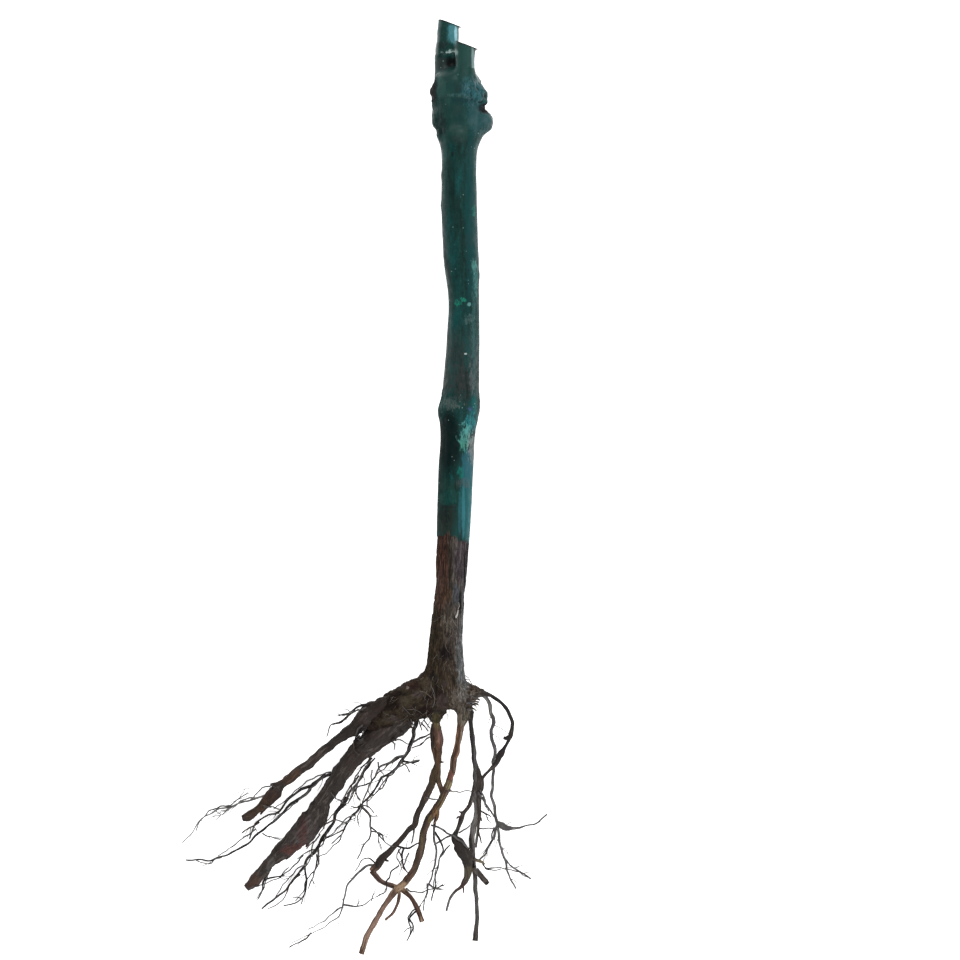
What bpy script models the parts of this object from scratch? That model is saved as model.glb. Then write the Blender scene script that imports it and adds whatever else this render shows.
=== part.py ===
"""A young bare-rooted grapevine, lying on the ground: a grafted stem with two pruned shoots, and its roots.

The plant lies along Y. Its shoots point to +Y and its root tips to -Y. Sizes below are millimetres: x and y
are counted from the root crown, and z from the ground. The objects are made in metres, under an empty
that brings the middle of the plant's underside to the world's origin.
"""

import math
import random
from dataclasses import dataclass, field

import bmesh
import bpy
import numpy as np
from mathutils import Matrix, Vector

MM = 0.001

# Driving dimensions.
CLEARANCE = 0.35  # left between a piece and the one that carries it
STEM_STEP, STEM_SIDES = 8.0, 16  # length of a facet along the stem, and how many go round it
ROOT_STEP, ROOT_SIDES = 5.0, 8
FIBRE_STEP, FIBRE_SIDES = 6.0, 4
LUMP_SEGMENTS, LUMP_RINGS = 14, 8
PRUNING_TILT = 20  # degrees that a pruning cut leans towards +X
WELD = 0.001  # loose points closer than this are one
SHARP_ANGLE = 50  # degrees; flatter edges are shaded smooth

# The side rootlets that a mass of fibres grows by rule.
ROOTLET_LENGTH = (4.0, 9.0)
ROOTLET_ANGLE = (30, 60)  # degrees away from the fibre that bears it
ROOTLET_RISE = (-0.1, 0.3)
ROOTLET_THICK, ROOTLET_THIN = 0.36, 0.22  # half-thickness where it starts and at its tip
ROOTLET_ROOM = 0.8  # kept free to every other piece
ROOTLET_CHECK = 1.0  # distance between the points that are tested for that room
ROOTLET_TRIES = 60

# Base colour and roughness of each finish.
FINISHES = {
    "waxed bark": ((0.020, 0.060, 0.055, 1.0), 0.35),
    "green wax": ((0.015, 0.070, 0.065, 1.0), 0.30),
    "dark root": ((0.030, 0.022, 0.018, 1.0), 0.85),
    "brown root": ((0.140, 0.065, 0.035, 1.0), 0.75),
    "fibre": ((0.045, 0.038, 0.034, 1.0), 0.90),
}


@dataclass
class Piece:
    """One node: limbs of (x, y, z, half-thickness) and lumps of (centre, half-sizes), fused into one."""

    finish: str
    limbs: list
    sides: int
    step: float
    clear_of: tuple = ()
    lumps: list = field(default_factory=list)
    rootlets: int = 0
    pruned_at: tuple = ()


def taper(thick, thin, *points):
    """A limb through (x, y, z) points, with a half-thickness that changes evenly from thick to thin."""
    last = len(points) - 1
    return [(*point, thick + (thin - thick) * i / last) for i, point in enumerate(points)]


def root(finish, carriers, *limbs):
    return Piece(finish, list(limbs), ROOT_SIDES, ROOT_STEP, carriers)


def fibres(carriers, rootlets, *limbs):
    return Piece("fibre", list(limbs), FIBRE_SIDES, FIBRE_STEP, carriers, rootlets=rootlets)


# The stem: its foot spreads into the root crown, an old bud node swells half way up, and it ends in the
# callus of the graft union.
STEM = [
    (-6.0, -4, 18.0, 8.5),
    (-5.0, 3, 18.0, 10.6),
    (-5.0, 11, 18.0, 10.6),
    (-4.8, 20, 18.0, 9.2),
    (-4.6, 31, 18.0, 8.3),
    (-2.6, 53, 17.5, 7.5),
    (-1.0, 80, 17.0, 8.0),
    (0.3, 112, 16.5, 8.5),
    (1.3, 132, 16.0, 8.4),
    (2.0, 144, 15.6, 9.7),
    (3.0, 156, 15.6, 8.9),
    (4.0, 178, 15.2, 8.0),
    (4.4, 200, 15.0, 7.5),
    (3.0, 222, 14.8, 8.6),
    (2.2, 248, 14.6, 8.7),
    (2.0, 272, 14.0, 8.6),
    (2.2, 281, 13.7, 11.0),
    (2.4, 288, 13.5, 13.4),
    (1.8, 297, 13.5, 12.8),
    (1.0, 305, 13.5, 12.9),
    (0.6, 312, 13.7, 10.2),
    (0.6, 316, 14.0, 5.0),
]
CALLUS = [
    ((11.5, 289.0, 15.0), (7.6, 7.0, 8.0)),
    ((-5.5, 290.0, 10.5), (6.5, 7.0, 7.5)),
    ((8.0, 300.5, 18.5), (7.8, 8.5, 7.5)),
    ((-6.0, 304.0, 12.0), (6.6, 7.5, 8.5)),
]
CROWN = [
    ((-13.0, 4.0, 18.0), (14.0, 9.5, 9.0)),
    ((-27.0, -4.5, 18.0), (15.0, 9.5, 8.0)),
    ((8.0, -1.5, 18.5), (6.5, 6.5, 7.0)),
]
ROOT_BASES = [
    [(-9.0, -3, 15.5, 5.5), (-10.0, -11, 14.5, 3.3)],
    [(4.0, -2, 20.0, 4.5), (4.8, -10, 21.5, 2.9)],
    [(6.0, 0, 16.0, 4.5), (8.0, -7, 15.0, 1.8)],
    [(6.0, 4, 20.0, 5.0), (15.5, 3.5, 21.0, 1.4)],
]

PIECES = {
    "stem": Piece("waxed bark", [STEM, *ROOT_BASES], STEM_SIDES, STEM_STEP, lumps=CALLUS + CROWN),
    # The longer shoot lies behind, and the shorter one in front of it.
    "shoot_back": Piece(
        "green wax",
        [[(-4.6, 304, 10.8, 5.6), (-5.0, 322, 10.2, 5.0), (-3.6, 331, 10.2, 5.5), (-3.2, 344, 10.2, 4.9)]],
        12,
        ROOT_STEP,
        ("stem",),
        pruned_at=(-3.2, 338.6, 10.2),
    ),
    "shoot_front": Piece(
        "green wax",
        [[(4.6, 304, 19.6, 5.8), (4.9, 316, 20.2, 4.9), (5.2, 324, 20.4, 5.1), (5.6, 333, 20.6, 5.1)]],
        12,
        ROOT_STEP,
        ("stem",),
        pruned_at=(5.4, 326.8, 20.5),
    ),
}

# The roots, from left to right.
PIECES["root_far_left"] = root(
    "dark root",
    ("stem",),
    [
        (-30, 0, 20, 5.0),
        (-41, -6, 19.5, 4.4),
        (-52, -14.5, 16.5, 2.9),
        (-62, -22, 13, 2.2),
        (-72, -31, 9, 2.2),
        (-83, -39, 6, 2.2),
        (-92, -47, 4, 3.3),
        (-97, -53, 3, 2.6),
        (-106, -59, 2.3, 2.2),
    ],
)
PIECES["root_thick"] = root(
    "dark root",
    ("stem", "root_far_left"),
    [
        (-28, -8, 16, 7.6),
        (-40, -19, 13.5, 6.4),
        (-51, -31, 11, 4.3),
        (-58, -40, 9.5, 4.0),
        (-66, -50, 8, 4.4),
        (-72, -59, 7, 5.4),
        (-78, -67, 6.4, 6.2),
        (-85, -75, 5.6, 4.9),
        (-93, -84, 3.8, 3.2),
        (-102, -94, 2.0, 1.6),
    ],
)
PIECES["root_middle"] = root(
    "brown root",
    ("stem", "root_brown"),
    [
        (-10, -9, 14.5, 3.2),
        (-9.2, -14, 14, 2.7),
        (-7.5, -21, 13, 2.5),
        (-8.5, -29, 12, 2.5),
        (-10.5, -39, 10.5, 2.4),
        (-15.5, -48, 9, 1.9),
        (-18.5, -57, 7, 1.8),
        (-25, -67, 5, 1.8),
        (-36, -80, 3.4, 1.8),
        (-40.5, -85.5, 3.0, 1.7),
    ],
    taper(1.8, 1.5, (-9.5, -34, 11.5), (-8.2, -41, 10.5), (-7.0, -47, 11.0)),
)
PIECES["root_middle_hook"] = root(
    "brown root",
    ("root_middle",),
    taper(
        1.6,
        1.2,
        (-41.0, -85.5, 3.0),
        (-38.5, -90, 2.4),
        (-32.5, -93.5, 2.0),
        (-25.5, -96, 1.9),
        (-21.5, -101, 1.7),
        (-18, -107, 1.5),
        (-16.5, -112, 1.4),
    ),
)
PIECES["root_brown"] = root(
    "brown root",
    ("stem",),
    [
        (4, -8, 21.5, 2.4),
        (2.5, -13, 22, 1.8),
        (0, -27, 20, 1.8),
        (-3, -39, 17, 2.0),
        (-8.5, -53, 14, 2.2),
        (-14, -59, 12.5, 2.2),
        (-17, -72, 9.5, 2.1),
        (-21, -83, 8, 2.1),
        (-29, -95, 6.2, 2.0),
        (-34.5, -103, 4.8, 1.8),
        (-44, -118, 2.4, 1.6),
        (-47, -127.5, 1.5, 1.4),
    ],
    taper(0.9, 0.7, (-28, -94, 6.2), (-28.2, -100, 5.0), (-30.5, -106, 3.6), (-35.0, -110.5, 2.6)),
)
PIECES["root_right"] = root(
    "dark root",
    ("stem",),
    [
        (7.6, -5, 15, 1.8),
        (8.5, -15, 13.5, 1.2),
        (9, -29, 11, 1.2),
        (11, -37, 9.5, 1.4),
        (11, -46, 8, 2.1),
        (11, -56, 6.5, 1.9),
        (8.5, -68, 4.5, 2.0),
        (8, -75, 3.6, 1.5),
        (10.2, -86, 2.4, 1.2),
        (11, -97, 1.8, 1.1),
        (11, -110, 1.3, 1.0),
        (10, -121, 1.5, 1.5),
    ],
    taper(1.3, 1.1, (10.4, -85, 2.4), (13.5, -89, 2.6), (16.5, -92.5, 2.8)),
)
PIECES["root_arch"] = root(
    "dark root",
    ("stem", "root_right"),
    taper(
        1.2,
        0.9,
        (13, 3.6, 21),
        (19, 2, 22.5),
        (24.5, -3, 23),
        (28.5, -10, 21),
        (28, -17, 18),
        (24.5, -24, 15),
        (21, -31, 12.5),
        (17, -35.5, 11),
        (11.5, -40.5, 9),
    ),
)
PIECES["root_knotted"] = root(
    "dark root",
    ("root_right",),
    [
        (9.5, -44, 9.2, 1.3),
        (6.5, -54, 9.5, 1.2),
        (3, -59.5, 9.2, 1.2),
        (0.5, -66, 8.4, 1.2),
        (-0.5, -70, 8.2, 1.7),
        (4, -77, 8.0, 2.2),
        (6.5, -85, 7.0, 2.0),
        (4, -93, 4.8, 1.7),
        (-2, -100, 2.6, 1.3),
        (-5, -106, 1.4, 0.8),
    ],
)

# The masses of fibres, from left to right. The first limb of each is the stem that bears the others.
PIECES["fibres_far_left_tip"] = fibres(
    ("root_far_left",),
    6,
    taper(0.9, 0.5, (-92, -47, 4), (-101, -49.5, 3.6), (-109, -52.5, 3.0), (-118, -55, 2.4), (-125, -58.5, 1.8),
          (-130, -63, 1.3), (-132.5, -68, 1.0), (-137, -72, 0.8)),
    taper(0.6, 0.4, (-111, -53.4, 2.8), (-117.5, -57.5, 1.8), (-122, -58.5, 1.2)),
    taper(0.6, 0.4, (-114, -54, 2.6), (-108, -49.5, 3.2), (-103.5, -46.5, 3.6)),
)
PIECES["fibres_crown_left"] = fibres(
    ("root_far_left",),
    3,
    taper(0.8, 0.5, (-38, -3.5, 20.5), (-46, -2, 21), (-52, -5.5, 20), (-58, -7.5, 19)),
    taper(0.6, 0.4, (-50, -4.2, 20.5), (-55, -9, 18.5), (-62, -13, 17), (-64, -18, 15.5)),
)
PIECES["fibres_between"] = fibres(
    ("root_thick",),
    7,
    taper(1.0, 0.5, (-59, -36, 8), (-66, -39, 6), (-72, -43.5, 4.5), (-78, -49.5, 3.6), (-84, -54, 3.0),
          (-95, -65, 2.0), (-103, -70.5, 1.5), (-109, -75, 1.2), (-118, -79.5, 1.0), (-126, -81, 0.8),
          (-135, -80.5, 0.7)),
    taper(0.8, 0.5, (-71, -42.8, 4.6), (-77.5, -45.5, 3.6), (-84, -51, 2.6), (-89, -56.5, 1.8),
          (-96, -59.5, 1.0), (-101, -63.5, 1.0), (-103, -70, 1.4)),
    taper(0.5, 0.4, (-98, -61.5, 1.0), (-102.5, -64.5, 1.0), (-107, -67, 0.8)),
)
PIECES["fibres_under_thick"] = fibres(
    ("root_thick",),
    9,
    taper(1.2, 0.6, (-41, -24, 10), (-44, -33, 6.5), (-49.5, -42, 5), (-54.5, -50, 4), (-59.5, -58, 3),
          (-64.5, -66.5, 2.2), (-69, -74, 1.8), (-74.5, -82, 1.5), (-80, -89.5, 1.2), (-87, -97, 1.0),
          (-97, -105, 0.8)),
    taper(0.6, 0.4, (-75.5, -83, 1.5), (-75, -92, 1.2), (-76.5, -100, 1.0), (-86, -103.5, 0.8)),
    taper(0.6, 0.4, (-68.5, -73.5, 1.9), (-69, -82, 1.5), (-72, -90, 1.1), (-73.5, -95, 1.0)),
)
PIECES["fibres_thick_tip"] = fibres(
    ("root_thick",),
    3,
    taper(0.7, 0.4, (-95, -85, 3.2), (-95.5, -91, 1.6), (-97, -96.5, 1.1), (-99, -100.5, 0.8)),
    taper(0.5, 0.4, (-95.5, -90.5, 1.8), (-89, -88.5, 2.6), (-83, -84, 3.4)),
)
PIECES["fibres_net_upper"] = fibres(
    ("stem", "root_middle"),
    7,
    taper(1.3, 0.6, (-21, -8, 13), (-21.5, -15, 11.5), (-23, -22, 10.5), (-26.5, -30, 9), (-31, -35.5, 7.5),
          (-36.5, -39.5, 6), (-41, -46, 4.5), (-46.5, -52, 3.5)),
    taper(0.8, 0.5, (-25.5, -28, 9.2), (-31, -30, 8.6), (-37.5, -34, 7.2), (-42.5, -42.5, 5), (-46.5, -51.5, 3.5)),
    taper(0.7, 0.5, (-26.5, -30.5, 9), (-22, -31.5, 9.4), (-18, -30.5, 9.8)),
    taper(0.7, 0.5, (-23, -22, 10.5), (-18, -19.5, 11.4), (-12, -16.5, 12.6)),
    taper(0.5, 0.4, (-42, -41.5, 5), (-48, -43.5, 4.2), (-49.8, -46.5, 3.8), (-47.4, -50.5, 3.6)),
)
PIECES["fibres_net_lower"] = fibres(
    ("fibres_net_upper",),
    8,
    taper(0.8, 0.4, (-46.8, -52.2, 3.4), (-50, -57, 2.6), (-54, -62, 2.0), (-57, -67.5, 1.4), (-62, -72.5, 1.0)),
    taper(0.7, 0.5, (-47.3, -53, 3.2), (-43.5, -58, 2.6), (-42, -66.5, 2.0), (-45, -72, 1.5), (-49, -80, 1.0)),
    taper(0.5, 0.4, (-42.2, -64, 2.2), (-38.5, -67.5, 2.4), (-35, -71.5, 3.0)),
)
PIECES["fibres_middle_tip"] = fibres(
    ("root_middle", "root_middle_hook"),
    7,
    taper(0.8, 0.4, (-38.5, -84, 3.2), (-44, -83.5, 2.6), (-50, -88.5, 1.8), (-54.5, -94, 1.4), (-55.5, -100, 1.1),
          (-58, -108, 0.9), (-64, -113, 0.8), (-72, -117.5, 0.7), (-82, -122, 0.6)),
    taper(0.6, 0.4, (-56, -103, 1.1), (-49, -103.5, 1.0), (-42, -101, 0.9), (-37.5, -97.5, 1.0)),
)
PIECES["fibres_inner"] = fibres(
    ("root_middle", "root_brown"),
    4,
    taper(0.7, 0.5, (-30, -73, 4.2), (-24.5, -74, 6.0), (-18, -71.5, 7.2)),
    taper(0.6, 0.4, (-25.5, -73.8, 5.6), (-26.5, -80, 5.4), (-24, -86.5, 6.0)),
)
PIECES["fibres_brown_side"] = fibres(
    ("root_brown",),
    8,
    taper(0.8, 0.4, (-8.5, -54, 13), (-10, -62, 10), (-10, -70, 8), (-9.5, -80, 6), (-11.5, -87, 4.5),
          (-13.5, -94, 3.2), (-15, -101, 2.0), (-16, -106, 1.4)),
    taper(0.6, 0.4, (-10, -66, 9), (-6, -74, 6.5), (-9, -84, 5), (-11, -97, 3), (-12, -101, 2.4)),
    taper(0.6, 0.4, (-13, -92.5, 3.4), (-9.5, -94.5, 3.2), (-6, -92.5, 3.2)),
)
PIECES["fibres_brown_low"] = fibres(
    ("root_middle_hook",),
    3,
    taper(0.6, 0.4, (-19, -105.5, 1.6), (-22.5, -109, 1.0), (-21, -114, 0.8), (-24, -121, 0.6)),
)
PIECES["fibres_right"] = fibres(
    ("stem", "root_right"),
    9,
    taper(0.8, 0.5, (11, 1, 15), (15, -1, 16), (18, -6, 15.5), (19, -11, 14.5), (17.8, -16, 13.5),
          (19.5, -24, 11.5), (19.5, -36, 9), (18.5, -43, 7.5), (19, -53, 5.5), (21.5, -63, 3.6)),
    taper(0.7, 0.5, (21.3, -62.5, 3.7), (19, -70, 2.8), (15.5, -76.5, 2.0), (12, -80.5, 1.6)),
    taper(0.9, 0.4, (21.3, -62, 3.8), (27.5, -64.8, 3.0), (35, -64, 2.2), (42, -61, 1.4), (46.2, -57.5, 0.9)),
    taper(0.7, 0.4, (21.3, -63, 3.6), (23, -74, 2.2), (25, -82.5, 1.5), (28, -90, 1.0), (30.5, -95, 0.8)),
    taper(0.5, 0.4, (24, -79, 1.8), (30, -84.5, 1.2), (38, -90, 0.7)),
)
PIECES["fibres_cross"] = fibres(
    ("root_right", "root_knotted"),
    2,
    taper(0.6, 0.4, (11.5, -55, 6.5), (15.5, -57, 5.8), (18.0, -58.5, 5.2)),
)


def through(limb, step):
    """A smooth line through the limb's points (Catmull-Rom), with a point about every step."""
    knots = [Vector(point) for point in limb]
    knots = [2 * knots[0] - knots[1], *knots, 2 * knots[-1] - knots[-2]]
    line = []
    for a, b, c, d in zip(knots, knots[1:], knots[2:], knots[3:]):
        count = max(1, round((c.xyz - b.xyz).length / step))
        for k in range(count):
            t = k / count
            bend = (c - a) * t + (2 * a - 5 * b + 4 * c - d) * t**2 + (3 * b - a - 3 * c + d) * t**3
            line.append(b + bend / 2)
    line.append(knots[-2])
    return line


def spread(name):
    """Close points along all the limbs of a piece, with their half-thickness, as an array."""
    return np.array([point for limb in PIECES[name].limbs for point in through(limb, ROOTLET_CHECK)])


def grow_rootlets(name):
    """Side rootlets for a mass of fibres, kept off the ground and off the other pieces."""
    piece = PIECES[name]
    rule = random.Random(name)
    others = np.vstack([spread(other) for other in PIECES if other != name])
    grown = []
    for _ in range(ROOTLET_TRIES):
        if len(grown) == piece.rootlets:
            break
        line = through(rule.choice(piece.limbs), FIBRE_STEP)
        i = rule.randrange(1, len(line) - 1)
        start, along = line[i].xyz, (line[i + 1].xyz - line[i].xyz).normalized()
        angle = math.radians(rule.uniform(*ROOTLET_ANGLE)) * rule.choice((-1, 1))
        heading = Matrix.Rotation(angle, 3, "Z") @ along
        heading.z += rule.uniform(*ROOTLET_RISE)
        length = rule.uniform(*ROOTLET_LENGTH)
        middle = start + heading * length / 2
        end = middle + (heading + along).normalized() * length / 2
        for point in (middle, end):
            point.z = max(point.z, 2 * ROOTLET_THICK)
        rootlet = taper(ROOTLET_THICK, ROOTLET_THIN, start, middle, end)
        path = np.array(through(rootlet, ROOTLET_CHECK))[:, None, :3]
        room = np.linalg.norm(others[None, :, :3] - path, axis=2) - others[None, :, 3]
        if room.min() > ROOTLET_ROOM:
            grown.append(rootlet)
    return grown


def fresh_scene():
    for thing in list(bpy.data.objects):
        bpy.data.objects.remove(thing, do_unlink=True)


def material(finish):
    made = bpy.data.materials.get(finish)
    if made is None:
        colour, roughness = FINISHES[finish]
        made = bpy.data.materials.new(finish)
        made.use_nodes = True
        surface = made.node_tree.nodes["Principled BSDF"]
        surface.inputs["Base Color"].default_value = colour
        surface.inputs["Roughness"].default_value = roughness
        surface.inputs["Metallic"].default_value = 0.0
    return made


def evaluated_mesh(thing):
    """A new mesh of the object as its modifiers or its bevel leave it."""
    depsgraph = bpy.context.evaluated_depsgraph_get()
    return bpy.data.meshes.new_from_object(thing.evaluated_get(depsgraph))


def limb_object(limb, sides, step, collection, extra):
    """A round limb, thickened by extra, as a closed mesh."""
    curve = bpy.data.curves.new("limb", "CURVE")
    curve.dimensions = "3D"
    curve.bevel_depth = MM
    curve.bevel_resolution = (sides - 4) // 2
    curve.use_fill_caps = True
    curve.render_resolution_u = 0
    line = through(limb, step)
    spline = curve.splines.new("POLY")
    spline.points.add(len(line) - 1)
    for spot, point in zip(spline.points, line):
        spot.co = (*(point.xyz * MM), 1)
        spot.radius = point.w + extra
    thing = bpy.data.objects.new("limb", curve)
    collection.objects.link(thing)
    mesh = evaluated_mesh(thing)
    bpy.data.objects.remove(thing, do_unlink=True)
    return mesh_object(mesh, collection)


def lump_object(centre, half_sizes, collection, extra):
    mesh = bpy.data.meshes.new("lump")
    shape = bmesh.new()
    place = Matrix.Translation(Vector(centre) * MM)
    stretch = Matrix.Diagonal([(size + extra) * MM for size in half_sizes]).to_4x4()
    bmesh.ops.create_uvsphere(
        shape, u_segments=LUMP_SEGMENTS, v_segments=LUMP_RINGS, radius=1, matrix=place @ stretch
    )
    shape.to_mesh(mesh)
    shape.free()
    return mesh_object(mesh, collection)


def mesh_object(mesh, collection):
    """An object of the mesh, with its loose caps welded and its faces pointing out."""
    shape = bmesh.new()
    shape.from_mesh(mesh)
    bmesh.ops.remove_doubles(shape, verts=shape.verts, dist=WELD * MM)
    bmesh.ops.recalc_face_normals(shape, faces=shape.faces)
    shape.to_mesh(mesh)
    shape.free()
    thing = bpy.data.objects.new(mesh.name, mesh)
    collection.objects.link(thing)
    return thing


def blanks(name, limbs, collection, extra=0.0):
    """Every limb and lump of a piece as an object of its own, thickened by extra."""
    piece = PIECES[name]
    made = [limb_object(limb, piece.sides, piece.step, collection, extra) for limb in limbs]
    made += [lump_object(centre, sizes, collection, extra) for centre, sizes in piece.lumps]
    return made


def combine(thing, operation, collection):
    """Applies a Boolean with every object of the collection, which is then emptied."""
    if collection.objects:
        boolean = thing.modifiers.new(operation.lower(), "BOOLEAN")
        boolean.operation = operation
        boolean.operand_type = "COLLECTION"
        boolean.collection = collection
        boolean.solver = "EXACT"
        result = evaluated_mesh(thing)
        thing.modifiers.clear()
        thing.data = result
        for used in list(collection.objects):
            bpy.data.objects.remove(used, do_unlink=True)


def prune(thing, place):
    """Cuts the shoot off flat at the place, leaning by the pruning tilt."""
    tilt = math.radians(PRUNING_TILT)
    shape = bmesh.new()
    shape.from_mesh(thing.data)
    cut = bmesh.ops.bisect_plane(
        shape,
        geom=[*shape.verts, *shape.edges, *shape.faces],
        plane_co=Vector(place) * MM,
        plane_no=(math.sin(tilt), math.cos(tilt), 0),
        clear_outer=True,
    )
    rim = [part for part in cut["geom_cut"] if isinstance(part, bmesh.types.BMEdge)]
    bmesh.ops.contextual_create(shape, geom=rim)
    bmesh.ops.recalc_face_normals(shape, faces=shape.faces)
    shape.to_mesh(thing.data)
    shape.free()


def build_piece(name, plant, tools):
    piece = PIECES[name]
    limbs = piece.limbs + (grow_rootlets(name) if piece.rootlets else [])
    thing, *rest = blanks(name, limbs, tools)
    thing.name = name
    tools.objects.unlink(thing)
    plant.objects.link(thing)
    combine(thing, "UNION", tools)
    for carrier in piece.clear_of:
        blanks(carrier, PIECES[carrier].limbs, tools, CLEARANCE)
    combine(thing, "DIFFERENCE", tools)
    if piece.pruned_at:
        prune(thing, piece.pruned_at)
    thing.data.name = name
    thing.data.materials.clear()
    thing.data.materials.append(material(piece.finish))
    thing.data.shade_smooth()
    thing.data.set_sharp_from_angle(angle=math.radians(SHARP_ANGLE))
    return thing


def main():
    fresh_scene()
    plant = bpy.data.collections.new("grapevine")
    tools = bpy.data.collections.new("blanks and cutters")
    for collection in (plant, tools):
        bpy.context.scene.collection.children.link(collection)
    pieces = [build_piece(name, plant, tools) for name in PIECES]

    corners = np.array([vertex.co for piece in pieces for vertex in piece.data.vertices])
    low, high = corners.min(axis=0), corners.max(axis=0)
    origin = bpy.data.objects.new("origin", None)
    origin.location = (-(low[0] + high[0]) / 2, -(low[1] + high[1]) / 2, -low[2])
    plant.objects.link(origin)
    for piece in pieces:
        piece.parent = origin


main()
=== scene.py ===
# %% [markdown]
# # A bare-rooted grapevine, step by step
#
# A nursery digs up a grafted vine when it is two years old, cuts its shoots back to stubs, trims its roots
# and dips the top in green wax so that the graft can't dry out. This lesson dresses such a vine, which lies
# on the ground. Its plain solids are loaded first, and each piece made here is laid over the solid that it
# stands for.

# %% Load the plain solids
import math
import random

import bpy
import numpy as np
from mathutils import Matrix, Vector, noise
from mathutils.bvhtree import BVHTree


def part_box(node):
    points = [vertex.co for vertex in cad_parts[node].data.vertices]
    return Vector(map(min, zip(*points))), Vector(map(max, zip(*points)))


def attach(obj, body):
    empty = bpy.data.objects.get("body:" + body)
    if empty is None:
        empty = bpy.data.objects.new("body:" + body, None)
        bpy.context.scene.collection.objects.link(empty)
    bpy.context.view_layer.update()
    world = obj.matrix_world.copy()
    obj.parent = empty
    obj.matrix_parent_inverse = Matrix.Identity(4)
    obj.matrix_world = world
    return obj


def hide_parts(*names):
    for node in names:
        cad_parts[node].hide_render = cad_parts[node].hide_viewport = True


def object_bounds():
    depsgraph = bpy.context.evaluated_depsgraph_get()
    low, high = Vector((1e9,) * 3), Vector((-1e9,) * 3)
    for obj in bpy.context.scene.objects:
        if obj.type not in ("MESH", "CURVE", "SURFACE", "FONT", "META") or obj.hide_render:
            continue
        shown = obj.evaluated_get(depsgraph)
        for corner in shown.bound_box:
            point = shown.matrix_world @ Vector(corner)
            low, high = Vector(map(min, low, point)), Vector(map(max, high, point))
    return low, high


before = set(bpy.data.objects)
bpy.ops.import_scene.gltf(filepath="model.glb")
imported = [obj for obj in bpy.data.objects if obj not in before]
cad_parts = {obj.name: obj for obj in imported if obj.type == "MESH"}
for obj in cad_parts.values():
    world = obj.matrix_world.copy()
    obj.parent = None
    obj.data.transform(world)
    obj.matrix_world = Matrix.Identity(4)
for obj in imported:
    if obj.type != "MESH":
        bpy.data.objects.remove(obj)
solid_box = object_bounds()
MM = 0.001

# %% [markdown]
# Routes below are in millimetres from the middle of the root crown, as a gardener would measure the plant:
# x to the right, y up the stem, z from the ground. The crown's own place is read from the stem's solid.
# Its left end lies 41.6 mm left of the crown's middle, and the top of the graft is 316 mm up the stem.

# %% Find the crown
CROWN_LEFT, GRAFT_TOP = 41.62, 316
stem_low, stem_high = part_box("stem")
crown = np.array((stem_low.x + CROWN_LEFT * MM, stem_high.y - GRAFT_TOP * MM, 0))
box_low = (np.array(solid_box[0]) - crown) / MM
box_high = (np.array(solid_box[1]) - crown) / MM
print("crown at", crown.round(4), "box in mm", box_low.round(1), box_high.round(1))


# %% [markdown]
# ## Routes
#
# A root is a round limb that bends and thins as it goes. It could be sculpted, but a route is quicker to
# correct: each limb is a short list of points, (x, y, z, half-thickness), and a smooth line is
# drawn through them. `taper` writes a limb whose thickness changes evenly.

# %% Routes of the stem and shoots
def taper(thick, thin, *points):
    """A limb through (x, y, z) points, with a half-thickness that changes evenly."""
    last = len(points) - 1
    return [(*point, thick + (thin - thick) * i / last) for i, point in enumerate(points)]


STEM = [
    (-6, -3.4, 18, 8.4),
    (-5, 3, 18, 10.6),
    (-5, 11, 18, 10.6),
    (-4.8, 20, 18, 9.2),
    (-4.6, 31, 18, 8.3),
    (-2.6, 53, 17.5, 7.5),
    (-1, 80, 17, 8),
    (0.3, 112, 16.5, 8.5),
    (1.3, 132, 16, 8.4),
    (2, 144, 15.6, 9.7),
    (3, 156, 15.6, 8.9),
    (4, 178, 15.2, 8),
    (4.4, 200, 15, 7.5),
    (3, 222, 14.8, 8.6),
    (2.2, 248, 14.6, 8.7),
    (2, 272, 14, 8.6),
    (2.2, 281, 13.7, 11),
    (2.4, 288, 13.5, 13.2),
    (1.8, 297, 13.5, 12.8),
    (1, 305, 13.5, 12.7),
    (0.6, 312, 13.7, 10.2),
    (0.6, 315.5, 14, 5),
]
STEM_BRANCHES = [
    # the bases of four roots
    [(-9.4, -3, 15.5, 5.2), (-10.2, -11, 14.5, 2.6)],
    [(4, -2, 20, 4.5), (4.6, -10, 21.5, 3)],
    [(5.4, 0, 16, 3.5), (7.8, -7, 15, 1.7)],
    [(5, 3.8, 20, 5.8), (10.5, 3.9, 20.4, 3.5), (14.2, 4, 20.8, 1.7), (17.4, 3, 21.6, 0.7)],
    # the crown, which leans to the left and parts into two thick roots
    [(-4, 3, 18, 10), (-12, 3, 18, 10.2), (-20, 0.2, 18, 10), (-28, -3.4, 17.6, 9.2),
     (-36, -8.4, 16.8, 7.4), (-43, -14, 15, 4.6)],
    # the necks of the two shoots
    [(4.2, 300, 18, 8.6), (4.8, 308.5, 19.4, 6.7), (4.9, 314, 20, 5), (5, 319, 20.3, 3.9)],
    [(-3.2, 302, 12.5, 7.6), (-4.4, 313, 10.8, 5.6), (-5, 323, 10.2, 4.9)],
    # the web between them
    [(-0.6, 307, 14, 5), (-0.6, 315, 13, 3.6), (-0.4, 323, 12, 2.6)],
]
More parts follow.
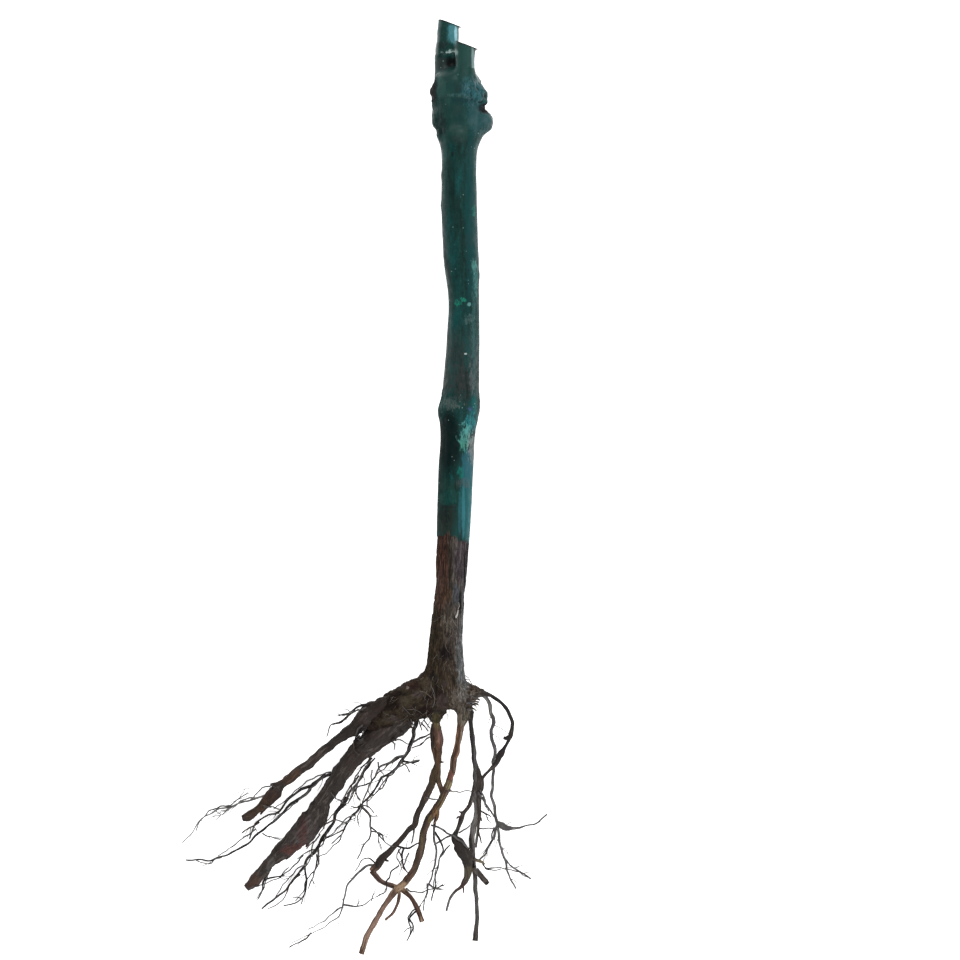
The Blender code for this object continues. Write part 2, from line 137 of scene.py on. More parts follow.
# (centre, half-sizes): the callus of the graft, then the root crown
STEM_LUMPS = [
    ((11.1, 289, 15), (7.3, 6.8, 8)),
    ((-4.9, 290, 10.5), (6.3, 7, 7.5)),
    ((8, 300.5, 18.5), (7.8, 8.5, 7.5)),
    ((-5.4, 304, 12), (6.4, 7.5, 8.5)),
    ((-13, 2, 18), (12, 9, 9.4)),
    ((-13, 11, 18), (5, 4.5, 6.5)),
    ((4.8, 0, 18.5), (4.3, 6.5, 7)),
]
SHOOTS = {
    "shoot_back": [
        (-4.6, 304, 10.8, 5.4), (-5, 322, 10.2, 5), (-3.6, 331, 10.2, 5.4), (-3.2, 344, 10.2, 4.8),
    ],
    "shoot_front": [(4.6, 304, 19.6, 5.6), (4.9, 316, 20.2, 4.8), (5.2, 324, 20.4, 5), (5.6, 333, 20.6, 5)],
}
# the middle of the cut where each shoot is pruned
CUTS = {"shoot_back": (-3.2, 338.6, 10.2), "shoot_front": (5.4, 326.8, 20.5)}

# %% Routes of the main roots
ROOTS = {
    "root_far_left": [
        [
            (-24, -1, 17, 3.6), (-31, -1.6, 18.6, 5), (-41, -6.2, 18.6, 5.4), (-51.8, -14.8, 16.5, 3.2),
            (-62, -22, 13, 2.2), (-72, -31, 9, 2.5), (-82.5, -39.2, 6, 2.3), (-86.8, -43.2, 5, 2.2),
            (-91.3, -47.3, 4.2, 3.7), (-94.4, -51.2, 3.6, 2.9), (-98.4, -54.7, 3, 2.1),
            (-102.7, -58.2, 2.7, 2.5), (-106.6, -59.4, 2.2, 1.6),
        ]
    ],
    "root_thick": [
        [
            (-20, -3, 17, 4), (-28, -8, 16, 7.4), (-40, -19, 13.5, 6.4), (-47.9, -25.6, 12, 5),
            (-54.9, -33.7, 10.5, 4.7), (-61.4, -43.9, 9, 4.1), (-66, -50, 8, 3.9),
            (-68.1, -54.2, 7.4, 5.3), (-71.3, -60.7, 7, 6.5), (-76.2, -66.4, 6.9, 6.4),
            (-81.8, -71.6, 6, 5.3), (-88.6, -77.8, 4.8, 3.7), (-93.6, -82.3, 3.9, 2.9),
            (-97.7, -87.5, 3.2, 2.9), (-101.5, -91.7, 3, 2.8), (-104.6, -94.4, 2.5, 1.9),
        ]
    ],
    "root_middle": [
        [
            (-9.6, -6, 14.5, 2.3), (-9.5, -12, 14, 2), (-8.4, -19, 13, 2.5), (-8.2, -26, 12, 1.9),
            (-8.7, -33, 11.4, 1.85), (-10.8, -38.9, 10.5, 2.1), (-12.9, -44.8, 9.6, 1.9),
            (-14.9, -48.7, 9, 1.9), (-17.4, -53.8, 7.8, 1.4), (-19.2, -59.1, 6.6, 1.8),
            (-20.4, -63, 5.8, 1.5), (-24.1, -66.1, 5, 1.4), (-28.8, -71.9, 4.2, 1.35),
            (-32.5, -75.7, 3.8, 1.5), (-37.1, -80.4, 3.4, 2), (-39.7, -83.8, 3, 2.1),
            (-42.1, -86, 2.8, 1.4),
        ],
        taper(1.6, 1.3, (-8.8, -33, 11.5), (-8.3, -39, 10.8), (-6.5, -46.4, 11)),
    ],
    "root_middle_hook": [
        taper(1.4, 1.2, (-41.6, -85.8, 2.8), (-39.8, -88.3, 2.4), (-36.4, -91.7, 2.1), (-31, -93.6, 2),
              (-26, -95.5, 1.9), (-21.2, -101, 1.7), (-18, -107, 1.6), (-16.5, -111.5, 1.5)),
    ],
    "root_brown": [
        [
            (4.4, -5, 21.2, 2.9), (3, -11.5, 22, 2.1), (1.8, -20, 21, 1.6), (-0.4, -29, 19.6, 1.75),
            (-1.9, -37, 17.6, 1.75), (-4.2, -44, 16.2, 1.9), (-8.1, -52, 14.2, 1.85),
            (-11.9, -57.6, 13, 2), (-15, -64, 11.6, 1.8), (-17.1, -74.5, 9.2, 1.9),
            (-20.2, -84.1, 7.8, 1.75), (-24.6, -91, 6.8, 1.8), (-29.4, -95.4, 6, 1.9),
            (-35, -102.8, 4.8, 1.4), (-43.8, -118, 2.4, 1.5), (-47, -127.5, 1.5, 1.4),
        ],
        taper(0.9, 0.7, (-28, -94, 6.2), (-28.2, -100, 5), (-30.5, -106, 3.6), (-35, -110.5, 2.6)),
    ],
    "root_right": [
        [
            (7.6, -5, 15, 1.8), (8, -12, 13.8, 1.25), (9.1, -22, 12, 1.25), (9.9, -32, 10, 1.35),
            (11.6, -40, 9, 2.75), (11, -47, 8, 2.65), (11.2, -56, 6.5, 1.7), (8.9, -66, 4.8, 1.5),
            (8.6, -75, 3.6, 1.5), (9.6, -86, 2.4, 1.1), (10.5, -97, 1.8, 1.1), (11, -110, 1.3, 1),
            (10, -121, 1.5, 1.5),
        ],
        taper(1.3, 1.4, (10.4, -85, 2.4), (13.5, -89, 2.6), (16.5, -92.5, 2.8)),
    ],
    "root_arch": [
        [(13.2, 4.1, 21, 1.5), (16.4, 3.4, 21.8, 1.1), (19.2, 2, 22.5, 0.9), (24.8, -2.8, 23, 1.05),
         (28.7, -9.9, 21, 1), (27.6, -17, 18, 1.3), (25.5, -22.4, 15.5, 0.85), (22.3, -27.2, 13.6, 1.8),
         (21, -31, 12.5, 1.4), (16.7, -35.6, 11, 0.8), (12, -41, 9, 1)],
    ],
    "root_knotted": [
        [
            (10.8, -41, 9.2, 1.2), (9.4, -46.5, 9.3, 1.4), (7.5, -51.9, 9.5, 1), (4.5, -56, 9.4, 1.1),
            (3, -60.4, 9, 1.3), (1.2, -64.6, 8.6, 1.1), (0.1, -68.2, 8.2, 1.8), (2.2, -71.8, 8.1, 3.1),
            (4, -76, 8, 3.3), (6, -80.4, 7.6, 2.7), (6.6, -85, 7, 2), (6.1, -88.4, 5.8, 1.6),
            (4.2, -92, 4.6, 1.35), (2.4, -94.3, 3.8, 0.9), (0.4, -95.9, 3.2, 0.75),
            (-2.6, -100.2, 2.2, 0.68), (-4.4, -106, 1.4, 0.6),
        ]
    ],
}

# %% [markdown]
# Fine roots grow in masses. The first limb of a mass bears the others, and a rule further down adds the side
# rootlets, which no hand would place one by one. The number in front is how many the rule grows.

# %% Routes of the fibre masses
MASSES = {
    "fibres_far_left_tip": (6, [
        taper(0.9, 0.5, (-92, -47, 4), (-101, -49.5, 3.6), (-109, -52.5, 3), (-118, -55, 2.4),
              (-125, -58.5, 1.8), (-130, -63, 1.3), (-132.5, -68, 1), (-137, -72, 0.8)),
        taper(0.6, 0.4, (-111, -53.4, 2.8), (-117.5, -57.5, 1.8), (-122, -58.5, 1.2)),
        taper(0.6, 0.4, (-114, -54, 2.6), (-108, -49.5, 3.2), (-103.5, -46.5, 3.6)),
    ]),
    "fibres_crown_left": (3, [
        taper(0.8, 0.5, (-38, -3.5, 20.5), (-46, -2, 21), (-52, -5.5, 20), (-58, -7.5, 19)),
        taper(0.6, 0.4, (-50, -4.2, 20.5), (-55, -9, 18.5), (-62, -13, 17), (-64, -18, 15.5)),
    ]),
    "fibres_between": (7, [
        taper(1, 0.5, (-59, -36, 8), (-66, -39, 6), (-72, -43.5, 4.5), (-78, -49.5, 3.6), (-84, -54, 3),
              (-95, -65, 2), (-103, -70.5, 1.5), (-109, -75, 1.2), (-118, -79.5, 1), (-126, -81, 0.8),
              (-135, -80.5, 0.7)),
        taper(0.8, 0.5, (-71, -42.8, 4.6), (-77.5, -45.5, 3.6), (-84, -51, 2.6), (-89, -56.5, 1.8),
              (-96, -59.5, 1), (-101, -63.5, 1), (-103, -70, 1.4)),
        taper(0.5, 0.4, (-98, -61.5, 1), (-102.5, -64.5, 1), (-107, -67, 0.8)),
    ]),
    "fibres_under_thick": (9, [
        taper(0.7, 0.8, (-41, -24, 10), (-44, -33, 6.5), (-49.5, -42, 5), (-54.5, -50, 4), (-57, -54, 3.5)),
        taper(1.1, 0.6, (-54, -49, 4.1), (-59.5, -58, 3), (-64.5, -66.5, 2.2), (-69, -74, 1.8),
              (-74.5, -82, 1.5), (-80, -89.5, 1.2), (-87, -97, 1), (-97, -105, 0.8)),
        taper(0.6, 0.4, (-75.5, -83, 1.5), (-75, -92, 1.2), (-76.5, -100, 1), (-86, -103.5, 0.8)),
        taper(0.6, 0.4, (-68.5, -73.5, 1.9), (-69, -82, 1.5), (-72, -90, 1.1), (-73.5, -95, 1)),
    ]),
    "fibres_thick_tip": (3, [
        taper(0.7, 0.4, (-95, -85, 3.2), (-95.5, -91, 1.6), (-97, -96.5, 1.1), (-99, -100.5, 0.8)),
        taper(0.5, 0.4, (-95.5, -90.5, 1.8), (-89, -88.5, 2.6), (-83, -84, 3.4)),
    ]),
    "fibres_net_upper": (7, [
        taper(1.3, 0.6, (-19.4, -8, 13), (-20, -15, 11.5), (-22.2, -22, 10.5), (-26, -29.5, 9),
              (-31, -35.5, 7.5), (-36.5, -39.5, 6), (-41, -46, 4.5), (-46.5, -52, 3.5)),
        taper(0.8, 0.5, (-25.5, -28, 9.2), (-31, -30, 8.6), (-37.5, -34, 7.2), (-42.5, -42.5, 5),
              (-46.5, -51.5, 3.5)),
        taper(0.7, 0.5, (-26.5, -30.5, 9), (-22, -31.5, 9.4), (-18, -30.5, 9.8)),
        taper(0.7, 0.5, (-23, -22, 10.5), (-18, -19.5, 11.4), (-12, -16.5, 12.6)),
        taper(0.5, 0.4, (-42, -41.5, 5), (-48, -43.5, 4.2), (-49.8, -46.5, 3.8), (-47.4, -50.5, 3.6)),
    ]),
    "fibres_net_lower": (8, [
        taper(0.8, 0.4, (-46.8, -52.2, 3.4), (-50, -57, 2.6), (-54, -62, 2), (-57, -67.5, 1.4),
              (-62, -72.5, 1)),
        taper(0.7, 0.5, (-47.3, -53, 3.2), (-43.5, -58, 2.6), (-42, -66.5, 2), (-45, -72, 1.5),
              (-49, -80, 1)),
        taper(0.5, 0.4, (-42.2, -64, 2.2), (-38.5, -67.5, 2.4), (-35, -71.5, 3)),
    ]),
    "fibres_middle_tip": (7, [
        taper(0.8, 0.4, (-38.5, -84, 3.2), (-44, -83.5, 2.6), (-50, -88.5, 1.8), (-54.5, -94, 1.4),
              (-55.5, -100, 1.1), (-58, -108, 0.9), (-64, -113, 0.8), (-72, -117.5, 0.7), (-82, -122, 0.6)),
        taper(0.6, 0.4, (-56, -103, 1.1), (-49, -103.5, 1), (-42, -101, 0.9), (-37.5, -97.5, 1)),
    ]),
    "fibres_inner": (4, [
        taper(0.7, 0.5, (-30, -73, 4.2), (-24.5, -74, 6), (-18, -71.5, 7.2)),
        taper(0.6, 0.4, (-25.5, -73.8, 5.6), (-26.5, -80, 5.4), (-24, -86.5, 6)),
    ]),
    "fibres_brown_side": (8, [
        taper(0.8, 0.4, (-8.5, -54, 13), (-10, -62, 10), (-10, -70, 8), (-9.5, -80, 6), (-11.5, -87, 4.5),
              (-13.5, -94, 3.2), (-15, -101, 2), (-16, -106, 1.4)),
        taper(0.6, 0.4, (-10, -66, 9), (-6, -74, 6.5), (-9, -84, 5), (-11, -97, 3), (-12, -101, 2.4)),
        taper(0.6, 0.4, (-13, -92.5, 3.4), (-9.5, -94.5, 3.2), (-6, -92.5, 3.2)),
    ]),
    "fibres_brown_low": (3, [
        taper(0.6, 0.4, (-19, -105.5, 1.6), (-22.5, -109, 1), (-21, -114, 0.8), (-24, -121, 0.6)),
    ]),
    "fibres_right": (9, [
        taper(1.15, 0.75, (13, 3.4, 19), (14.8, 2.2, 17.4), (17, -2, 16), (18.5, -7, 15.2),
              (19.2, -11.5, 14.4), (17.8, -16, 13.5), (19.5, -24, 11.5), (19.5, -36, 9), (18.5, -43, 7.5),
              (19, -53, 5.5), (21.5, -63, 3.6)),
        taper(0.7, 0.5, (21.3, -62.5, 3.7), (19, -70, 2.8), (15.5, -76.5, 2), (12, -80.5, 1.6)),
        [(21.3, -61.5, 3.8, 0.9), (24.5, -63.6, 3.4, 1.6), (28, -64.6, 3, 0.9), (35, -64, 2.2, 0.5),
         (42, -61, 1.4, 0.4), (46.2, -57.5, 0.9, 0.35)],
        taper(0.7, 0.4, (21.3, -63, 3.6), (23, -74, 2.2), (25, -82.5, 1.5), (28, -90, 1), (30.5, -95, 0.8)),
        taper(0.5, 0.4, (24, -79, 1.8), (30, -84.5, 1.2), (38, -90, 0.7)),
    ]),
    "fibres_cross": (2, [
        taper(0.6, 0.4, (11.5, -55, 6.5), (15.5, -57, 5.8), (18, -58.5, 5.2)),
    ]),
}

# %% All limbs by their piece
LIMBS = {"stem": [STEM, *STEM_BRANCHES[:4]], **{name: [limb] for name, limb in SHOOTS.items()}, **ROOTS}
LIMBS.update({name: limbs for name, (_, limbs) in MASSES.items()})
print(len(LIMBS), "pieces,", sum(len(limbs) for limbs in LIMBS.values()), "limbs")


# %% [markdown]
# ## Tools for limbs
#
# A limb could be extruded ring by ring. Here it starts as a curve with a thickness at each point, which is
# then converted to a mesh, because a curve bends evenly. Its rings stay in order, so bark can be raised on
# them by length and angle: `grain` keeps, for every vertex, where it is round the limb and how far along, and
# both the relief and the materials read it. Noise stretched along the grain gives the strands of vine bark.

# %% A smooth line through a few points
WANDER_SEED = 17.0
# noise_vector starts from the clock unless it gets a start of its own, and then no two runs agree
WANDER_START = 1795481950
noise.seed_set(WANDER_START)


def through(limb, step):
    """A smooth line through the limb's points, with a point about every step."""
    knots = [Vector(point) for point in limb]
    knots = [2 * knots[0] - knots[1], *knots, 2 * knots[-1] - knots[-2]]
    line = []
    for a, b, c, d in zip(knots, knots[1:], knots[2:], knots[3:]):
        count = max(1, round((c.xyz - b.xyz).length / step))
        for k in range(count):
            t = k / count
            bend = (c - a) * t + (2 * a - 5 * b + 4 * c - d) * t**2 + (3 * b - a - 3 * c + d) * t**3
            line.append(b + bend / 2)
    line.append(knots[-2])
    return line


def wander(line, amount, reach, seed):
    """Moves the middle of a line about sideways, as a root that grew between stones."""
    run = 0.0
    total = sum((b.xyz - a.xyz).length for a, b in zip(line, line[1:]))
    moved = [line[0]]
    for a, b in zip(line, line[1:]):
        run += (b.xyz - a.xyz).length
        ease = min(1.0, run / reach, (total - run) / reach)
        drift = noise.noise_vector((run / reach, seed, WANDER_SEED)) * amount * ease
        moved.append(Vector((b.x + drift.x, b.y + drift.y, max(b.z + drift.z / 2, b.w), b.w)))
    return moved


# %% Select with care
def deselect():
    if bpy.context.mode != "OBJECT":
        bpy.ops.object.mode_set(mode="OBJECT")
    bpy.ops.object.select_all(action="DESELECT")


def pick(*things):
    """Selects just these objects and makes the first one active."""
    deselect()
    for thing in things:
        thing.select_set(True)
    bpy.context.view_layer.objects.active = things[0]


# %% Draw a limb
GRAIN_LENGTH = 8.0  # millimetres along the limb for each step of the grain
THINNEST_GRAIN, BOX_ROOM = 0.4, 0.05


def fractal(points, octaves=3):
    """Noise from -1 to 1 at every row of an array."""
    return np.array([noise.fractal(point, 1.0, 2.0, octaves) for point in points])


def read_vectors(thing, name):
    """The co or the normal of every vertex, as an array of rows."""
    flat = np.empty(len(thing.data.vertices) * 3, np.float32)
    thing.data.vertices.foreach_get(name, flat)
    return flat.reshape(-1, 3)


def write_points(thing, points):
    """Puts the vertices at points in millimetres from the crown, kept inside the box of the solids."""
    points[:] = np.clip(points, box_low + BOX_ROOM, box_high - BOX_ROOM)
    thing.data.vertices.foreach_set("co", (points * MM + crown).astype(np.float32).ravel())
    thing.data.update()


def store_grain(thing, grain):
    kept = thing.data.attributes.new("grain", "FLOAT_VECTOR", "POINT")
    kept.data.foreach_set("vector", grain.astype(np.float32).ravel())


def draw_limb(line, sides, relief=None, seed=0.0):
    """A closed tube along a line of (x, y, z, half-thickness), raised by relief(grain, thickness)."""
    curve = bpy.data.curves.new("limb", "CURVE")
    curve.dimensions = "3D"
    curve.bevel_depth = 1
    curve.bevel_resolution = (sides - 4) // 2
    curve.use_fill_caps = True
    spline = curve.splines.new("POLY")
    spline.points.add(len(line) - 1)
    for spot, point in zip(spline.points, line):
        spot.co = (*point.xyz, 1)
        spot.radius = point.w
    limb = bpy.data.objects.new("limb", curve)
    bpy.context.scene.collection.objects.link(limb)
    pick(limb)
    bpy.ops.object.convert(target="MESH")

    points = read_vectors(limb, "co")
    caps = 2 * sides
    centres = np.array([point.xyz for point in line])
    thick = np.array([point.w for point in line])
    along = np.concatenate([[0], np.cumsum(np.linalg.norm(np.diff(centres, axis=0), axis=1))])
    angle = np.tile(np.arange(sides) * math.tau / sides, len(line))
    ring = np.repeat(np.arange(len(line)), sides)
    across = np.maximum(thick[ring], THINNEST_GRAIN)
    grain = np.stack([np.cos(angle) * across, np.sin(angle) * across, along[ring] / GRAIN_LENGTH], 1) + seed
    if relief is not None:
        rise = relief(grain, thick[ring])
        out = (points[caps:] - centres[ring]) / np.maximum(thick[ring], 1e-6)[:, None]
        points[caps:] += out * rise[:, None]
        points[:sides] = points[-sides:]
        points[sides:caps] = points[caps : caps + sides]
    write_points(limb, points)
    store_grain(limb, np.vstack([grain[-sides:], grain[:sides], grain]))
    return limb


# %% Weld, join and finish
WELD_DISTANCE = 0.002


def weld(thing):
    """Closes the loose caps and turns every face outwards."""
    pick(thing)
    bpy.ops.object.mode_set(mode="EDIT")
    bpy.ops.mesh.select_all(action="SELECT")
    bpy.ops.mesh.remove_doubles(threshold=WELD_DISTANCE * MM)
    bpy.ops.mesh.normals_make_consistent(inside=False)
    bpy.ops.object.mode_set(mode="OBJECT")
    return thing


def join(name, things):
    """Joins objects into one piece of this name."""
    pick(*things)
    if len(things) > 1:
        bpy.ops.object.join()
    whole = bpy.context.view_layer.objects.active
    whole.name = whole.data.name = name
    return whole


def finish_piece(thing, material, slot, *stands_for):
    """Gives a piece its material, if it has none yet, and smooth shading, and ties it to the plant."""
    if material:
        thing.data.materials.append(material)
    pick(thing)
    bpy.ops.object.shade_smooth()
    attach(thing, "root")
    if stands_for:
        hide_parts(*stands_for)
    print(thing.name, len(thing.data.polygons), "faces")


# %% [markdown]
# ## Materials
#
# Bark, wax and root skin share one thing: strands that follow the grain. So the strands are a node group. It
# reads the `grain` attribute, bends it a little, and gives out a height and a mask of the deep cracks.

# %% Small helpers for nodes
def add(tree, kind, **settings):
    """A node with its properties and its sockets set by name."""
    made = tree.nodes.new(kind)
    for key, value in settings.items():
        if key.startswith("in_"):
            made.inputs[key[3:].replace("_", " ")].default_value = value
        else:
            setattr(made, key, value)
    return made


def link(tree, source, socket):
    """Links an output to a socket. A plain number or colour is set on the socket instead."""
    if isinstance(source, (int, float)):
        socket.default_value = source
    elif isinstance(source, tuple):
        socket.default_value = (*source, 1)
    else:
        tree.links.new(source, socket)


def math_node(tree, operation, a, b=None, clamp=False):
    made = add(tree, "ShaderNodeMath", operation=operation, use_clamp=clamp)
    link(tree, a, made.inputs[0])
    if b is not None:
        link(tree, b, made.inputs[1])
    return made.outputs[0]


def times(tree, a, b):
    return math_node(tree, "MULTIPLY", a, b)


def mix(tree, factor, a, b, mode="MIX"):
    made = add(tree, "ShaderNodeMix", data_type="RGBA", blend_type=mode)
    for number, source in ((0, factor), (6, a), (7, b)):
        link(tree, source, made.inputs[number])
    return made.outputs[2]


def ramp(tree, factor, *stops):
    """A colour ramp through (place, colour) stops. A colour that is one number is a grey."""
    made = add(tree, "ShaderNodeValToRGB")
    band = made.color_ramp
    while len(band.elements) < len(stops):
        band.elements.new(0.5)
    for element, (place, colour) in zip(band.elements, stops):
        element.position = place
        element.color = (*colour, 1) if isinstance(colour, tuple) else (colour, colour, colour, 1)
    link(tree, factor, made.inputs["Fac"])
    return made.outputs["Color"]


def span(tree, value, low, high, new_low=0.0, new_high=1.0):
    """Stretches low..high of a value to new_low..new_high, smoothly and clamped."""
    made = add(tree, "ShaderNodeMapRange", interpolation_type="SMOOTHSTEP", in_From_Min=low, in_From_Max=high,
               in_To_Min=new_low, in_To_Max=new_high)
    link(tree, value, made.inputs["Value"])
    return made.outputs["Result"]


def noise_node(tree, vector, scale, detail=3.0, rough=0.5, warp=0.0):
    made = add(tree, "ShaderNodeTexNoise", in_Scale=scale, in_Detail=detail, in_Roughness=rough,
               in_Distortion=warp)
    link(tree, vector, made.inputs["Vector"])
    return made.outputs["Fac"]


def streak_noise(tree, vector, scales, detail, rough, warp=0.0):
    """Noise that is longest where its scale is smallest, so that it runs in streaks."""
    mapping = add(tree, "ShaderNodeMapping", in_Scale=scales)
    link(tree, vector, mapping.inputs["Vector"])
    return noise_node(tree, mapping.outputs["Vector"], 1.0, detail, rough, warp)


def attribute(tree, name, socket="Fac"):
    return add(tree, "ShaderNodeAttribute", attribute_name=name).outputs[socket]


def plant_place(tree):
    """Object coordinates turned into millimetres from the crown."""
    mapping = add(tree, "ShaderNodeMapping", in_Location=tuple(-crown / MM), in_Scale=(1 / MM,) * 3)
    link(tree, add(tree, "ShaderNodeTexCoord").outputs["Object"], mapping.inputs["Vector"])
    return mapping.outputs["Vector"]


def new_group(name, inputs, outputs):
    """An empty node group with named sockets, and its two end nodes."""
    tree = bpy.data.node_groups.new(name, "ShaderNodeTree")
    for in_out, sockets in (("INPUT", inputs), ("OUTPUT", outputs)):
        for socket, kind in sockets.items():
            tree.interface.new_socket(socket, in_out=in_out, socket_type="NodeSocket" + kind)
    return tree, add(tree, "NodeGroupInput").outputs, add(tree, "NodeGroupOutput").inputs


# %% The strands group
strands, given, result = new_group(
    "bark strands", {"Grain": "Vector", "Fineness": "Float"}, {"Height": "Float", "Cracks": "Float"}
)
scaled = add(strands, "ShaderNodeVectorMath", operation="SCALE")
link(strands, given["Grain"], scaled.inputs[0])
link(strands, given["Fineness"], scaled.inputs["Scale"])
broad = noise_node(strands, scaled.outputs[0], 0.8, 4.0, 0.6, 0.6)
fine = noise_node(strands, scaled.outputs[0], 3.0, 3.0, 0.6, 0.3)
ridges = math_node(strands, "ABSOLUTE", math_node(strands, "SUBTRACT", broad, 0.5))
ridges = math_node(strands, "MULTIPLY", ridges, 4.0, True)
height = math_node(strands, "ADD", times(strands, broad, 0.65), times(strands, fine, 0.35))
link(strands, height, result["Height"])
link(strands, span(strands, ridges, 0.02, 0.3, 1.0, 0.0), result["Cracks"])


def strand_node(tree, fineness):
    """The strands group fed by the piece's own grain: its height and its cracks."""
    group = add(tree, "ShaderNodeGroup", node_tree=strands, in_Fineness=fineness)
    link(tree, attribute(tree, "grain", "Vector"), group.inputs["Grain"])
    return group.outputs["Height"], group.outputs["Cracks"]


# %% [markdown]
# Every finish starts the same way, with a shader of low gloss, the strands, and millimetres to place things
# by, and each is raised by its strands. They could be copied from one material, but two helpers are shorter.

# %% Start and raise a finish
def new_finish(name, gloss, fineness):
    """A material, its tree, its shader, millimetres from the crown, and the strands."""
    made = bpy.data.materials.new(name)
    made.use_nodes = True
    surface = made.node_tree.nodes["Principled BSDF"].inputs
    surface["Specular IOR Level"].default_value = gloss
    return made, made.node_tree, surface, plant_place(made.node_tree), *strand_node(made.node_tree, fineness)


def raise_strands(tree, surface, height, strength, depth):
    relief = add(tree, "ShaderNodeBump", in_Distance=depth)
    link(tree, strength, relief.inputs["Strength"])
    link(tree, height, relief.inputs["Height"])
    link(tree, relief.outputs["Normal"], surface["Normal"])


# %% [markdown]
# Some places have a colour of their own: a scuff, a cut end, a patch where the bark shows through. They are
# set with a `spot` group, a soft blob with a ragged edge. One noise is shared by all the spots of a
# material, since a noise is the costly part.
# Other spots are painted light: painted highlights, and painted shade in pits, hollows and on shaded sides.

# %% The spot group
RAGGED_SCALE, RAGGED_REACH = (0.8, 0.35, 0.8), 5
STREAK_SCALE, STREAKY = (1.7, 0.4, 1.7), 0.4  # patches at least as ragged as STREAKY break up into streaks

spot, given, result = new_group(
    "ragged spot", {"Place": "Vector", "Centre": "Vector", "Size": "Vector", "Rag": "Float"},
    {"Mask": "Float"},
)
offset = add(spot, "ShaderNodeVectorMath", operation="SUBTRACT")
link(spot, given["Place"], offset.inputs[0])
link(spot, given["Centre"], offset.inputs[1])
shrunk = add(spot, "ShaderNodeVectorMath", operation="DIVIDE")
link(spot, offset.outputs[0], shrunk.inputs[0])
link(spot, given["Size"], shrunk.inputs[1])
far = add(spot, "ShaderNodeVectorMath", operation="LENGTH")
link(spot, shrunk.outputs[0], far.inputs[0])
edge = math_node(spot, "ADD", far.outputs["Value"], given["Rag"])
link(spot, span(spot, edge, 0.70, 1.20, 1.0, 0.0), result["Mask"])


def lay_patches(tree, place, colour, patches, level=20, depth=12):
    """Mixes each patch, (x, y), (half-width, half-height), strength, tone, raggedness, over a colour."""
    if not patches:
        return colour
    ragged = math_node(tree, "SUBTRACT", streak_noise(tree, place, RAGGED_SCALE, 4, 0.7), 0.5)
    streaks = span(tree, streak_noise(tree, place, STREAK_SCALE, 3, 0.6, 0.5), 0.38, 0.58, 0.25, 1.0)
    for middle, half_size, strength, tone, raggedness in patches:
        group = add(tree, "ShaderNodeGroup", node_tree=spot, in_Centre=(*middle, level),
                    in_Size=(*half_size, depth))
        link(tree, place, group.inputs["Place"])
        link(tree, times(tree, ragged, RAGGED_REACH * raggedness), group.inputs["Rag"])
        mask = times(tree, group.outputs["Mask"], strength)
        if raggedness >= STREAKY:
            mask = times(tree, mask, streaks)
        colour = mix(tree, mask, colour, tone)
    return colour


# %% [markdown]
# ## Root skin
#
# The skin of a dry root is dark in its cracks and lighter on its strands, with stripes and with patches of
# another tone. Old roots, brown roots and fibres are the same finish in other tones. The patches are given
# one by one: earth near the crown, inner bark where a root is torn, and the pale ends that were trimmed.
# Some patches are painted light instead: painted highlights down the right root and the brown one, and
# painted shade along the brown root's edges.

# %% Patches on the roots
# (x, y), (half-width, half-height), strength, tone, raggedness
DARK_ROOT_PATCHES = [
    # earth where the thick roots leave the crown
    ((-57, -16), (15, 9), 0.7, (0.018, 0.014, 0.011), 0.3),
    ((-36.5, -3), (8.5, 8), 0.92, (0.02, 0.012, 0.008), 0.3),
    ((-41, -13), (8, 9), 0.6, (0.034, 0.022, 0.019), 0.35),
    ((-27, 0), (8.5, 9), 0.92, (0.03, 0.021, 0.014), 0.3),
    # reddish inner bark on the torn root and on the far left one
    ((-75, -66), (8, 9), 0.6, (0.08, 0.064, 0.064), 0.4),
    ((-58, -36), (5, 16), 0.5, (0.03, 0.024, 0.019), 0.4),
    ((-52, -26), (5, 7), 0.45, (0.03, 0.02, 0.017), 0.4),
    ((-76, -67), (2.2, 9), 0.6, (0.078, 0.03, 0.025), 0.39),
    ((-79, -75.2), (8, 3.2), 0.72, (0.095, 0.032, 0.026), 0.3),
    ((-101, -91), (4.5, 4.5), 0.7, (0.085, 0.044, 0.032), 0.35),
    ((-79.5, -36.5), (3.2, 2.8), 0.4, (0.105, 0.056, 0.03), 0.3),
    ((-83.5, -40), (4, 3.2), 0.38, (0.1, 0.048, 0.024), 0.35),
    ((-97, -53), (12, 9), 0.9, (0.056, 0.032, 0.019), 0.3),
    ((-91, -48.5), (4, 4), 0.6, (0.034, 0.017, 0.013), 0.3),
    ((-92, -83), (2.4, 5), 0.55, (0.105, 0.1, 0.095), 0.3),
    # painted highlight down the right root in the next two patches, over grey bark lower down
    ((9.6, -62), (1.7, 16), 0.75, (0.19, 0.176, 0.17), 0.2),
    ((10.5, -100), (1.6, 20), 0.5, (0.12, 0.112, 0.108), 0.3),
    ((12.8, -81), (2.6, 2), 0.8, (0.15, 0.122, 0.074), 0.3),
    ((7, -87), (3, 4), 0.7, (0.09, 0.072, 0.046), 0.3),
    ((4, -94), (3.4, 3.4), 0.7, (0.08, 0.038, 0.032), 0.3),
    ((-2.6, -101), (3.4, 6.5), 0.8, (0.165, 0.155, 0.15), 0.3),
    ((23.5, -4), (10, 12), 0.92, (0.017, 0.0155, 0.0155), 0.2),
    ((23.5, -24), (7, 11), 0.85, (0.018, 0.015, 0.015), 0.3),
    ((9, -24), (3, 20), 0.86, (0.022, 0.02, 0.021), 0.2),
    # painted highlight in this patch, on the right side of the right root
    ((10.2, -26), (0.9, 20), 0.6, (0.13, 0.122, 0.122), 0.3),
    ((3.6, -74), (6, 9), 0.7, (0.02, 0.0175, 0.0155), 0.3),
]
